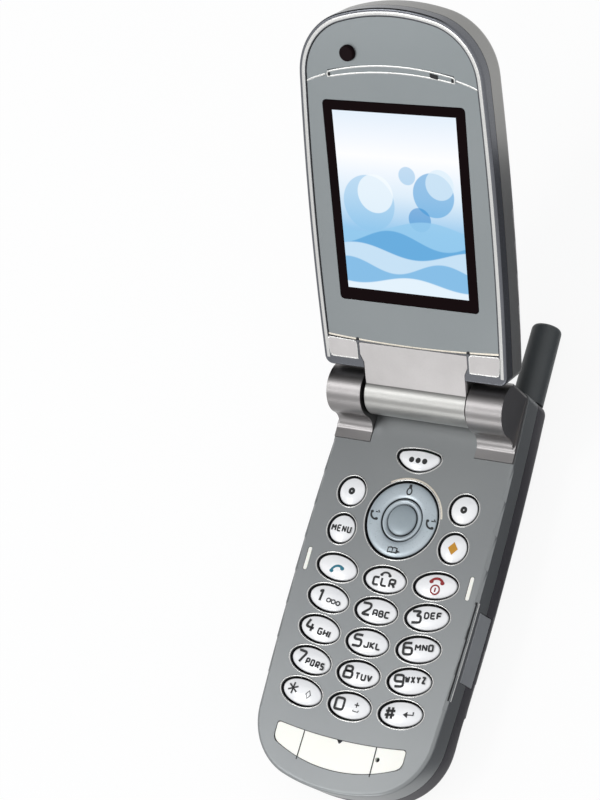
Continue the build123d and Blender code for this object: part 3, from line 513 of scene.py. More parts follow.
def turned(name, profile, matrix, hollow=False):
    """Sweeps profile points (radius, height, share of painted edge shade) round the z axis.

    A hollow piece has a closed profile and no ends; a solid one is closed by a fan at each end.
    """
    rings, shares = [], []
    for radius, height, *share in profile + (profile[:1] if hollow else []):
        rings.append([(x, y, height) for x, y in ellipse(radius, radius, TURNED_SIDES)])
        shares.append(share[0] if share else 0.0)
    obj = rings_mesh(name, rings, matrix, closed_ends=not hollow, sides=shares)
    if hollow:
        bm = bmesh.new()
        bm.from_mesh(obj.data)
        bmesh.ops.remove_doubles(bm, verts=bm.verts, dist=1e-7)
        bmesh.ops.recalc_face_normals(bm, faces=bm.faces)
        bm.to_mesh(obj.data)
        bm.free()
    return obj


def turn_points(centre, radius, start, end, count):
    """Gives points round a centre from one angle to another, without the last."""
    angles = [start + (end - start) * i / count for i in range(count)]
    return [(centre[0] + radius * math.cos(t), centre[1] + radius * math.sin(t)) for t in angles]


def arc_through(a, b, c, count):
    """Gives points on the circle arc from a through b to c, without c."""
    (ax, ay), (bx, by), (cx, cy) = a, b, c
    d = 2 * (ax * (by - cy) + bx * (cy - ay) + cx * (ay - by))
    sa, sb, sc = ax * ax + ay * ay, bx * bx + by * by, cx * cx + cy * cy
    ox = (sa * (by - cy) + sb * (cy - ay) + sc * (ay - by)) / d
    oy = (sa * (cx - bx) + sb * (ax - cx) + sc * (bx - ax)) / d
    start, end = math.atan2(ay - oy, ax - ox), math.atan2(cy - oy, cx - ox)
    middle = math.atan2(by - oy, bx - ox)
    sweep = (end - start) % (2 * math.pi)
    if (middle - start) % (2 * math.pi) > sweep:
        sweep -= 2 * math.pi
    return turn_points((ox, oy), math.hypot(ax - ox, ay - oy), start, start + sweep, count)


def bend(start, corner, end, count=6):
    """Rounds a corner between two points, without giving the points themselves."""
    points = []
    for i in range(1, count):
        t = i / count
        points.append(tuple((1 - t) ** 2 * a + 2 * t * (1 - t) * b + t * t * c
                            for a, b, c in zip(start, corner, end)))
    return points


def tangent_arc(start, heading, end, count):
    """Gives points on the arc that leaves start along heading and reaches end, both included."""
    normal, chord = Vector((-heading.y, heading.x)), end - start
    radius = chord.length_squared / (2 * normal.dot(chord))
    centre = start + normal * radius
    first = math.atan2(start.y - centre.y, start.x - centre.x)
    sweep = math.atan2(end.y - centre.y, end.x - centre.x) - first
    if radius > 0 > sweep:
        sweep += 2 * math.pi
    if radius < 0 < sweep:
        sweep -= 2 * math.pi
    points = []
    for i in range(count + 1):
        angle = first + sweep * i / count
        points.append(centre + Vector((math.cos(angle), math.sin(angle))) * abs(radius))
    return points


def case_run(reach, root, root_half, inset, start):
    """Runs along the case's outline, moved inwards by inset: up one side, round the tip and back.

    It is drawn with the hinge axis at y = 0 and the tip at y = reach, and keeps what lies beyond start.
    """
    corner, chin = Vector((CORNER_HALF, reach - CORNER_RISE)), Vector((CHIN_HALF, reach - CHIN_RISE))
    middle = Vector((HALF_WIDTH, (root + corner.y) / 2))
    side = [Vector(p) for p in arc_through((root_half, root), tuple(middle), tuple(corner), 40)] + [corner]
    shoulder = tangent_arc(corner, (side[-1] - side[-2]).normalized(), chin, 24)
    tip = [Vector(p) for p in arc_through(tuple(chin), (0, reach), (-chin.x, chin.y), 24)]
    half = side + shoulder[1:] + tip[1:13]
    moved = []
    for before, here, after in zip(half, half[1:], half[2:]):
        along = (after - before).normalized()
        moved.append(here + Vector((-along.y, along.x)) * inset)
    moved = [p for p in moved if p.y > start and p.x > 0]
    return [tuple(p) for p in moved] + [(-p.x, p.y) for p in reversed(moved)]


def lid_run(inset, start):
    """Runs along the lid's outline on its inner side, with the tip towards +y."""
    return case_run(LID_REACH, LID_ROOT, LID_ROOT_HALF, inset, start)


def base_run(inset, start):
    """Runs along the base's outline, with the chin towards -y; start is measured towards the chin."""
    return [(x, -y) for x, y in case_run(BASE_REACH, BASE_ROOT, BASE_ROOT_HALF, inset, start)]


def ellipse(half_x, half_y, count=72):
    """Gives points round an ellipse, from its right end."""
    angles = [2 * math.pi * i / count for i in range(count)]
    return [(half_x * math.cos(a), half_y * math.sin(a)) for a in angles]


def mirrored(points, side):
    """Gives points of the right side as they are, or on the left where side is -1."""
    return [(side * x, y) for x, y in points]


# ---- lettering and small drawings, flat in mm ----
class Drawing:
    """Collects letters and lines on a plane, then makes them one thin raised piece."""

    def __init__(self):
        self.bm = bmesh.new()

    def take(self, curve, matrix, flatten=1.0):
        """Adds a curve's mesh, with its height scaled by flatten and then placed by matrix."""
        holder = bpy.data.objects.new("drawing", curve)
        bpy.context.scene.collection.objects.link(holder)
        graph = bpy.context.evaluated_depsgraph_get()
        mesh = bpy.data.meshes.new_from_object(holder.evaluated_get(graph))
        mesh.transform(Matrix.Diagonal((1, 1, flatten, 1)))
        mesh.transform(matrix)
        self.bm.from_mesh(mesh)
        bpy.data.objects.remove(holder)
        bpy.data.meshes.remove(mesh)

    def lines(self, runs, width, closed=False, at=(0, 0), turn=0.0, flat=True):
        """Draws each run of points as a bar of this width, flattened unless told otherwise."""
        curve = bpy.data.curves.new("line", "CURVE")
        curve.dimensions = "3D"
        curve.bevel_depth = width / 2
        curve.bevel_resolution = 1
        curve.use_fill_caps = True
        for points in runs:
            spline = curve.splines.new("POLY")
            spline.points.add(len(points) - 1)
            for slot, (x, y) in zip(spline.points, points):
                slot.co = (x, y, 0, 1)
            spline.use_cyclic_u = closed
        self.take(curve, Matrix.Translation((*at, 0)) @ Matrix.Rotation(turn, 4, "Z"),
                  flatten=LINE_THICK / width if flat else 1.0)

    def line(self, points, width, closed=False, at=(0, 0), turn=0.0, flat=True):
        """Draws one run of points as a bar."""
        self.lines([points], width, closed, at, turn, flat)

    def disc(self, radius, at=(0, 0), half_y=None):
        """Draws a filled disc, or an ellipse where half_y is given."""
        points = ellipse(radius, half_y or radius, 40)
        self.patch([(x + at[0], y + at[1]) for x, y in points])

    def patch(self, points):
        """Draws a filled outline as a thin plate."""
        top = [self.bm.verts.new((x, y, PATCH_HALF)) for x, y in points]
        low = [self.bm.verts.new((x, y, -PATCH_HALF)) for x, y in points]
        self.bm.faces.new(top)
        self.bm.faces.new(low[::-1])
        for i in range(len(top)):
            j = (i + 1) % len(top)
            self.bm.faces.new((low[i], low[j], top[j], top[i]))

    def piece(self, name, matrix, material, body, slot):
        """Makes all that was drawn one piece, placed by matrix."""
        mesh = mesh_from(name, self.bm)
        mesh.transform(matrix)
        return dress(link_mesh(name, mesh), material, body, smooth=30)


# Each sign's strokes on a grid 4 wide and 6 high, in a squared, rounded style, with the gap between two
# signs and the radius of their corners on the same grid.
GRID_HIGH = 6
SIGN_GAP = 1.7
SIGN_ROUND = 1.3
BOX = ((0, 1.2), (0, 6), (4, 6), (4, 0), (0, 0), (0, 1.3))
BOWL = ((0, 0), (0, 6), (4, 6), (4, 2.7), (0, 2.7))
STROKES = {
    "0": (BOX,), "1": (((0.9, 4.7), (2.2, 6), (2.2, 0)),),
    "2": (((0, 6), (4, 6), (4, 3.6), (0.2, 0), (4, 0)),),
    "3": (((0, 6), (4, 6), (1.9, 3.5), (4, 3.5), (4, 0), (0, 0)),),
    "4": (((1.1, 6), (0, 1.9), (4, 1.9)), ((2.9, 4), (2.9, 0))),
    "5": (((4, 6), (0.4, 6), (0.2, 3.5), (4, 3.5), (4, 0), (0, 0)),),
    "6": (((3.7, 6), (0, 6), (0, 0), (4, 0), (4, 3.5), (0.2, 3.5)),), "7": (((0, 6), (4, 6), (1.7, 0)),),
    "8": (((0.4, 4), (0.4, 6), (3.6, 6), (3.6, 3.4), (0.4, 3.4), (0.4, 4.1)),
          ((0, 1.2), (0, 3.4), (4, 3.4), (4, 0), (0, 0), (0, 1.3))),
    "9": (((3.8, 2.6), (0, 2.6), (0, 6), (4, 6), (4, 0), (0.3, 0)),),
    "A": (((0, 0), (0, 6), (4, 6), (4, 0)), ((0, 2.5), (4, 2.5))),
    "B": (((3.2, 3.2), (3.6, 3.2), (3.6, 6), (0, 6), (0, 0), (4, 0), (4, 3.2), (0.2, 3.2)),),
    "C": (((4, 6), (0, 6), (0, 0), (4, 0)),),
    "D": (((0, 0), (0, 6), (2.7, 6), (4, 4.7), (4, 1.3), (2.7, 0), (0.1, 0)),),
    "E": (((4, 6), (0, 6), (0, 0), (4, 0)), ((0, 3), (3.5, 3))),
    "F": (((4, 6), (0, 6), (0, 0)), ((0, 3), (3.5, 3))),
    "G": (((4, 6), (0, 6), (0, 0), (4, 0), (4, 2.8), (2.2, 2.8)),),
    "H": (((0, 0), (0, 6)), ((4, 0), (4, 6)), ((0, 3), (4, 3))), "I": (((0, 0), (0, 6)),),
    "J": (((4, 6), (4, 0), (0, 0), (0, 1.8)),), "K": (((0, 0), (0, 6)), ((4, 6), (0.4, 3), (4, 0))),
    "L": (((0, 6), (0, 0), (4, 0)),), "M": (((0, 0), (0, 6), (2.4, 2.4), (4.8, 6), (4.8, 0)),),
    "N": (((0, 0), (0, 6), (4, 0), (4, 6)),), "O": (BOX,), "P": (BOWL,),
    "Q": (BOX, ((2.4, 1.6), (4.3, -0.4))),
    "R": (BOWL, ((2, 2.7), (4, 0))), "S": (((4, 6), (0, 6), (0, 3.1), (4, 3.1), (4, 0), (0, 0)),),
    "T": (((0, 6), (4, 6)), ((2, 6), (2, 0))), "U": (((0, 6), (0, 0), (4, 0), (4, 6)),),
    "V": (((0, 6), (2, 0), (4, 6)),), "W": (((0, 6), (1.2, 0), (2.4, 5), (3.6, 0), (4.8, 6)),),
    "X": (((0, 0), (4, 6)), ((0, 6), (4, 0))), "Y": (((0, 6), (2, 3), (4, 6)), ((2, 3), (2, 0))),
    "Z": (((0, 6), (4, 6), (0, 0), (4, 0)),), "+": (((0, 3), (4, 3)), ((2, 5), (2, 1))),
    "#": (((1, 0), (1.6, 6)), ((2.9, 0), (3.5, 6)), ((0, 2), (4.3, 2)), ((0.3, 4.1), (4.6, 4.1))),
    ":": (((0, 1.3), (0, 1.7)), ((0, 4.2), (0, 4.6))), "/": (((0, 0), (2.6, 6)),),
    "(": (((1.2, 6.4), (0, 4.8), (0, 1.2), (1.2, -0.4)),),
    ")": (((0, 6.4), (1.2, 4.8), (1.2, 1.2), (0, -0.4)),),
}


def rounded(points, radius):
    """Gives a run of lines with each inner corner replaced by a short curve."""
    path = [Vector(points[0])]
    for before, here, after in zip(points, points[1:], points[2:]):
        before, here, after = Vector(before), Vector(here), Vector(after)
        back, on = before - here, after - here
        cut = min(radius, back.length / 2, on.length / 2)
        start, end = here + back.normalized() * cut, here + on.normalized() * cut
        path += [start.lerp(here, t).lerp(here.lerp(end, t), t) for t in (0, 0.25, 0.5, 0.75, 1)]
    return path + [Vector(points[-1])]


def lettering(drawing, words, height, at=(0, 0), weight=0.3, turn=0.0, width=1.0):
    """Writes words in the stroke letters, centred; weight is the stroke's width in mm."""
    unit = height / GRID_HIGH
    gap = SIGN_GAP + weight / unit / 2
    runs, pen = [], 0.0
    for sign in words:
        strokes = STROKES[sign]
        for points in strokes:
            runs.append([(pen + x * width, y - GRID_HIGH / 2) for x, y in rounded(points, SIGN_ROUND)])
        pen += max(x for points in strokes for x, _ in points) * width + gap
    middle = (pen - gap) / 2
    lines = [[((x - middle) * unit, y * unit) for x, y in run] for run in runs]
    drawing.lines(lines, weight, at=at, turn=turn)


def handset(drawing, size, at, turn=0.0):
    """Draws a telephone handset seen from the side; all is in shares of size, half its length."""
    arc = arc_through((-size, -0.18 * size), (0, 0.34 * size), (size, -0.18 * size), 14)
    arc.append((size, -0.18 * size))
    drawing.line(arc, 0.4 * size, at=at, turn=turn)
    for side in (-1, 1):
        end = Vector((side * size * 0.95, -0.26 * size)).to_3d()
        end.rotate(Matrix.Rotation(turn, 3, "Z"))
        drawing.disc(0.36 * size, (at[0] + end.x, at[1] + end.y), 0.3 * size)


# ---- settings ----
def length(name, description, default, low, high):
    """A size in mm that a user may change."""
    return bpy.props.FloatProperty(name=name, description=description + ", in mm", default=default, min=low,
                                   max=high)


def colour(name, description, default):
    """A colour that a user may change, as an sRGB hex value."""
    return bpy.props.StringProperty(name=name, description=description, default=default)


class PhoneSizes(bpy.types.PropertyGroup):
    """Sizes of what the finish adds."""

    edge: length("Casing Edge", "Rounding of the casings' edges", 0.18, 0.02, 0.4)
    crown: length("Key Crown", "How far a key's top falls to its edge", 0.3, 0.0, 0.6)
    key_round: length("Key Edge", "Rounding of a key's edge", 0.4, 0.1, 0.6)
    rim: length("Well Rim", "Thickness of the bright rim round a key", 0.34, 0.1, 0.6)
    digit: length("Digit Height", "Height of the keys' digits", 2.6, 1.0, 4.0)
    letters: length("Letter Height", "Height of the keys' letters", 1.3, 0.5, 2.0)


class PhoneColours(bpy.types.PropertyGroup):
    """The phone's main colours, as sRGB hex values."""

    keypad_cover: colour("Keypad Cover", "Lacquer of the keypad cover", "838688")
    lid_shell: colour("Lid Shell", "Lacquer of the lid's outside", "868583")
    display_plate: colour("Display Plate", "Lacquer round the screen", "7b8183")
    bright_trim: colour("Bright Trim", "Silver of the lid's frame", "5f6166")
    keys: colour("Keys", "Pearl white of the keys", "fdfdfd")


def sizes():
    """The scene's size settings."""
    return bpy.context.scene.phone_sizes


def colours():
    """The scene's colour settings."""
    return bpy.context.scene.phone_colours


def key_centre(node):
    """The middle of a key's box, in mm."""
    low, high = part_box(node)
    return (low + high) / 2 / MM


def key_place(node, turn=0.0, height=0.0):
    """A drawing plane on a key's top, turned with the key."""
    centre = key_centre(node)
    return (Matrix.Scale(MM, 4) @ Matrix.Translation((centre.x, centre.y, KEY_TOP - KEY_SINK + height))
            @ Matrix.Rotation(turn, 4, "Z"))


# The wells' half sizes, in mm.
OVAL_WELL = (5.65, 3.25)
ROUND_WELL = 3.72
RING_WELL = 9.37
SELECT_WELL = 5.15

# In mm: the middle button's clearance in the ring; the wider one of a key, which shows as a dark line; how
# far its finished top lies under the CAD key's; the lip under the more key; how deep a key's skirt goes
# under the cover; and how far the wells' rims sink into the cover.
KEY_GAP = 0.22
SEEN_GAP = 0.42
KEY_SINK = 0.7
KEY_LIP = 0.25
KEY_SKIRT = 1.4
RIM_SINK = 0.02
SKIRT_LOW = COVER_TOP - KEY_TOP - KEY_SKIRT

# The more key's half width, how far towards the hinge its two arcs meet, and the radius of its round ends,
# in mm; and how far the oval keys of the outer columns lean.
MORE_HALF, MORE_SHOULDER, MORE_END = 6.6, 1.6, 1.6
OVAL_TILT = math.radians(8)
OVAL_KEYS = ("key_call", "key_clear", "key_end", "key_1", "key_2", "key_3", "key_4", "key_5", "key_6",
             "key_7", "key_8", "key_9", "key_star", "key_0", "key_hash")
ROUND_KEYS = ("soft_key_left", "soft_key_right", "menu_key", "info_key")


def key_turn(node):
    """The tilt of an oval key: outer columns lean outwards and up."""
    if node not in OVAL_KEYS:
        return 0.0
    return (OVAL_KEYS.index(node) % 3 - 1) * OVAL_TILT


def more_outline(grow=0.0):
    """Outlines a half moon with round ends: a flat arc towards the hinge and a deep one below."""
    low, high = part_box("more_key")
    reach = (high.y - low.y) / 2 / MM - KEY_LIP
    upper, lower = [(MORE_HALF ** 2 + sag ** 2) / (2 * sag)
                    for sag in (reach - MORE_SHOULDER, reach + MORE_SHOULDER)]
    upper_y, lower_y = reach - upper, lower - reach
    apart = lower_y - upper_y
    along = ((upper - MORE_END) ** 2 - (lower - MORE_END) ** 2 + apart ** 2) / (2 * apart)
    x, y = math.sqrt((upper - MORE_END) ** 2 - along ** 2), upper_y + along
    rise, fall = math.atan2(along, x), math.atan2(y - lower_y, x)
    points = turn_points((0, upper_y), upper + grow, rise, math.pi - rise, 30)
    points += turn_points((-x, y), MORE_END + grow, math.pi - rise, math.pi - fall, 12)
    points += turn_points((0, lower_y), lower + grow, math.pi - fall, 2 * math.pi + fall, 36)
    return points + turn_points((x, y), MORE_END + grow, fall, rise, 12)


def well_place(node, height=0.0):
    """A drawing plane on the cover over a key's well, on which flat lines stand RIM_STRETCH times as high."""
    centre = key_centre(node)
    return (Matrix.Scale(MM, 4) @ Matrix.Translation((centre.x, centre.y, COVER_TOP + height))
            @ Matrix.Diagonal((1, 1, RIM_STRETCH, 1)))


def key_outline(node, grow=-SEEN_GAP):
    """Outlines a key round its own centre: its well's outline, moved out by grow."""
    if node in OVAL_KEYS:
        return ellipse(OVAL_WELL[0] + grow, OVAL_WELL[1] + grow)
    if node in ROUND_KEYS:
        return ellipse(ROUND_WELL + grow, ROUND_WELL + grow)
    return more_outline(grow)


def key_cap(node, material):
    """A key with a crowned top that falls off towards a rounded edge."""
    crown, edge = sizes().crown, sizes().key_round
    outline = key_outline(node)
    reach = min(math.hypot(x, y) for x, y in outline)
    steps = 6
    # The third value of each level is its share of painted shade: full on the skirt, fading over the rounded edge.
    levels = [(1.0, SKIRT_LOW, 1.0), (1.0, -crown - edge, 1.0)]
    for i in range(1, steps + 1):
        angle = math.pi / 2 * i / steps
        levels.append((1.0 - edge / reach * (1 - math.cos(angle)), -crown - edge + edge * math.sin(angle),
                       max(0.0, 1.0 - 1.5 * i / steps)))
    rim = levels[-1][0]
    levels += [(rim * t, -crown * t ** 3, 0.0) for t in (0.93, 0.85, 0.75, 0.6, 0.4, 0.2)]
    rings = [[(x * t, y * t, z) for x, y in outline] for t, z, _ in levels]
    sides = [side for *_, side in levels]
    obj = rings_mesh(node + "_top", rings, key_place(node, key_turn(node)), sides=sides)
    dress(obj, material, BODY_OF[node], smooth=60)
    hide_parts(node)
    return obj


# ---- geometry nodes ----
def new_tree(name, inputs):
    """A geometry tree with named float inputs, given as {name: default}."""
    tree = bpy.data.node_groups.new(name, "GeometryNodeTree")
    tree.interface.new_socket("Geometry", in_out="INPUT", socket_type="NodeSocketGeometry")
    tree.interface.new_socket("Geometry", in_out="OUTPUT", socket_type="NodeSocketGeometry")
    for label, value in inputs.items():
        socket = tree.interface.new_socket(label, in_out="INPUT", socket_type="NodeSocketFloat")
        socket.default_value = value
    return tree, tree.nodes.new("NodeGroupInput")


def end_tree(tree, node, material):
    """Ends a tree: what node gives, made real and given its material."""
    real = add(tree, "GeometryNodeRealizeInstances", links={0: node.outputs[0]})
    coloured = add(tree, "GeometryNodeSetMaterial", values={"Material": material}, links={0: real.outputs[0]})
    add(tree, "NodeGroupOutput", links={0: coloured.outputs[0]})
    return tree


def run_tree(obj, tree, inputs):
    """Runs a tree on an object and keeps the result as its mesh."""
    modifier = obj.modifiers.new(tree.name, "NODES")
    modifier.node_group = tree
    for item in tree.interface.items_tree:
        if item.in_out == "INPUT" and item.name in inputs:
            modifier[item.identifier] = inputs[item.name]
    return baked(obj)


def rim_tree(material):
    """Lays an elliptical rim at every point, sized and turned by the point's attributes."""
    tree, given = new_tree("well_rims", {"Rim Thickness": 0.3})
    size, tilt = [add(tree, "GeometryNodeInputNamedAttribute", {"data_type": "FLOAT_VECTOR"}, {0: name})
                  for name in ("well_size", "well_tilt")]
    circle = add(tree, "GeometryNodeCurvePrimitiveCircle", values={"Resolution": 72, "Radius": 1.0})
    turn = add(tree, "FunctionNodeEulerToRotation", links={0: tilt.outputs[0]})
    spread = add(tree, "GeometryNodeInstanceOnPoints",
                 links={"Points": given.outputs[0], "Instance": circle.outputs[0],
                        "Rotation": turn.outputs[0], "Scale": size.outputs[0]})
    real = add(tree, "GeometryNodeRealizeInstances", links={0: spread.outputs[0]})
    radius = add(tree, "ShaderNodeMath", {"operation": "MULTIPLY"}, {1: 0.5 * MM},
                 {0: given.outputs["Rim Thickness"]})
    section = add(tree, "GeometryNodeCurvePrimitiveCircle", values={"Resolution": 10},
                  links={"Radius": radius.outputs[0]})
    tube = add(tree, "GeometryNodeCurveToMesh",
               links={0: real.outputs[0], "Profile Curve": section.outputs[0]})
    return end_tree(tree, tube, material)


def rib_tree(material):
    """Sets a rib with round ends at every point."""
    tree, given = new_tree("grip_ribs", {"Length": 12.0, "Width": 0.6, "Height": 0.12})
    parts = [add(tree, "ShaderNodeMath", {"operation": "MULTIPLY"}, {1: MM}, {0: given.outputs[label]})
             for label in ("Length", "Width", "Height")]
    scale = add(tree, "ShaderNodeCombineXYZ", links={i: part.outputs[0] for i, part in enumerate(parts)})
    shape = add(tree, "GeometryNodeMeshCylinder", values={"Vertices": 24, "Radius": 0.5, "Depth": 1.0})
    spread = add(tree, "GeometryNodeInstanceOnPoints",
                 links={"Points": given.outputs[0], "Instance": shape.outputs[0], "Scale": scale.outputs[0]})
    return end_tree(tree, spread, material)


def points_object(name, points, vectors=None):
    """Makes a mesh of loose points in mm, with a vector attribute for each name in vectors."""
    mesh = bpy.data.meshes.new(name)
    mesh.from_pydata([Vector(p) * MM for p in points], [], [])
    for label, values in (vectors or {}).items():
        layer = mesh.attributes.new(label, "FLOAT_VECTOR", "POINT")
        for slot, value in zip(layer.data, values):
            slot.vector = value
    return link_mesh(name, mesh)


# ---- one operator for each group of pieces ----
class PHONE_OT_casings(bpy.types.Operator):
    """Rounds and paints the covers, frames and plates"""

    bl_idname = "phone.casings"
    bl_label = "Casings"

    def execute(self, context):
        edge = sizes().edge
        lacquer, plate, dark = keypad_lacquer(colours()), plate_lacquer(colours()), dark_casing()
        softened("base_front_cover", lacquer, edge)
        softened("base_rear_cover", dark, edge)
        softened("battery_cover", dark, edge)
        softened("side_jack_cover", side_button_plastic(), edge)
        softened("display_plate", plate, 0.08)
        softened("top_panel", plate, 0.08)
        softened("lid_inner_frame", satin_silver(colours()), edge)
        softened("lid_outer_shell", shell_lacquer(colours()), edge)
        return {"FINISHED"}


class PHONE_OT_hinge(bpy.types.Operator):
    """Finishes the hinge caps, the skirt, the corner pads and the pins"""

    bl_idname = "phone.hinge"
    bl_label = "Hinge"

    def execute(self, context):
        silver, warm = hinge_silver(), warm_silver()
        for node in ("left_hinge_cap", "right_hinge_cap"):
            softened(node, silver, 0.35, 3)
        softened("hinge_skirt", warm, 0.12)
        softened("lid_corner_pads", warm, 0.2)
        painted("hinge_pins", steel())
        return {"FINISHED"}


class PHONE_OT_keys(bpy.types.Operator):
    """Makes the crowned key tops and finishes the side keys"""

    bl_idname = "phone.keys"
    bl_label = "Keys"

    def execute(self, context):
        pearl = pearl_key(colours())
        for node in OVAL_KEYS + ROUND_KEYS + ("more_key",):
            key_cap(node, pearl)
        for node in ("side_key_upper", "side_key_lower"):
            softened(node, bpy.data.materials["side_button_abs"], 0.1)
        return {"FINISHED"}


class PHONE_OT_navigation(bpy.types.Operator):
    """Turns the navigation ring and the middle button"""

    bl_idname = "phone.navigation"
    bl_label = "Navigation Keys"

    def execute(self, context):
        place = key_place("nav_ring")
        pearl = ring_plastic()
        low = SKIRT_LOW
        outer, inner = RING_WELL - SEEN_GAP, SELECT_WELL + 0.05
        # The third value in these profiles is a share of painted shade at the ring's and the button's edges.
        profile = [(inner, low, 1), (outer, low, 1), (outer, -0.5, 1), (outer - 0.1, -0.28, 0.7),
                   (outer - 0.3, -0.13, 0), (outer - 0.7, -0.04, 0), (outer - 1.4, 0.0, 0),
                   (inner + 1.0, 0.0, 0), (inner + 0.25, -0.03, 0), (inner + 0.08, -0.1, 0.3),
                   (inner, -0.3, 1)]
        ring = turned("nav_ring_top", profile, place, hollow=True)
        dress(ring, pearl, "nav_ring_cap", smooth=60)
        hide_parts("nav_ring")
        edge = SELECT_WELL - KEY_GAP
        bezel = [(3.8, low), (edge, low), (edge, -0.3), (edge - 0.15, -0.1), (edge - 0.4, -0.02),
                 (edge - 0.65, -0.1), (3.8, -0.5)]
        bezel_ring = turned("select_bezel", bezel, place, hollow=True)
        dress(bezel_ring, pearl, "select_button_cap", smooth=60)
        dome = [(3.62, low, 1), (3.62, -0.4, 1), (3.55, -0.26, 0.3), (3.3, -0.17, 0), (2.6, -0.08, 0),
                (1.6, -0.02, 0), (0.6, 0.0, 0)]
        button = turned("select_dome", dome, place)
        dress(button, button_plastic(), "select_button_cap", smooth=60)
        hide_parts("select_button")
        return {"FINISHED"}


class PHONE_OT_wells(bpy.types.Operator):
    """Runs a rim round every key's well, in a lighter lacquer as a painted highlight"""

    bl_idname = "phone.wells"
    bl_label = "Key Wells"

    def execute(self, context):
        rim = sizes().rim
        points, spans, tilts = [], [], []
        for node in OVAL_KEYS + ROUND_KEYS + ("nav_ring",):
            centre = key_centre(node)
            points.append((centre.x, centre.y, COVER_TOP - RIM_SINK))
            if node in OVAL_KEYS:
                half_x, half_y = OVAL_WELL
            else:
                half_x = half_y = ROUND_WELL if node in ROUND_KEYS else RING_WELL
            spans.append(((half_x + rim / 2) * MM, (half_y + rim / 2) * MM, MM))
            tilts.append((0, 0, key_turn(node)))
        # The rims are lighter than the cover: a painted highlight along each well's edge.
        material, slot = highlight_lacquer(), SLOT_OF["base_front_cover"]
        obj = points_object("well_rims", points, {"well_size": spans, "well_tilt": tilts})
        run_tree(obj, rim_tree(material), {"Rim Thickness": rim})
        dress(obj, material, "base", smooth=60)
        # A warm pale arc over the top of the navigation ring's rim: a painted highlight.
        ring_highlight = Drawing()
        ring_highlight.line(turn_points((0, 0), RING_WELL + 0.5, math.radians(10), math.radians(125), 48), 0.5)
        ring_highlight.piece("nav_ring_painted_highlight", well_place("nav_ring"), champagne_highlight(), "base", slot)
        more = Drawing()
        more.line(key_outline("more_key", rim / 2), rim, closed=True)
        more.piece("more_key_rim", well_place("more_key", -RIM_SINK), material, "base", slot)
        return {"FINISHED"}


LETTERS = {"key_1": ("1", ""), "key_2": ("2", "ABC"), "key_3": ("3", "DEF"), "key_4": ("4", "GHI"),
           "key_5": ("5", "JKL"), "key_6": ("6", "MNO"), "key_7": ("7", "PQRS"), "key_8": ("8", "TUV"),
           "key_9": ("9", "WXYZ"), "key_star": ("", ""), "key_0": ("0", ""), "key_hash": ("#", "")}

# Where a key's digit and letters stand, in mm from its middle: the letters of the last column are raised,
# the others' lowered.
DIGIT_AT = (-2.55, 0.1)
LETTERS_X, LETTERS_RAISE = 1.45, 0.45


def print_on(node, drawing, ink, turn=0.0):
    """Prints a drawing on a key's top, turned by turn."""
    drawing.piece(node + "_legend", key_place(node, turn, PRINT_RISE), ink, BODY_OF[node], "key_plastic")


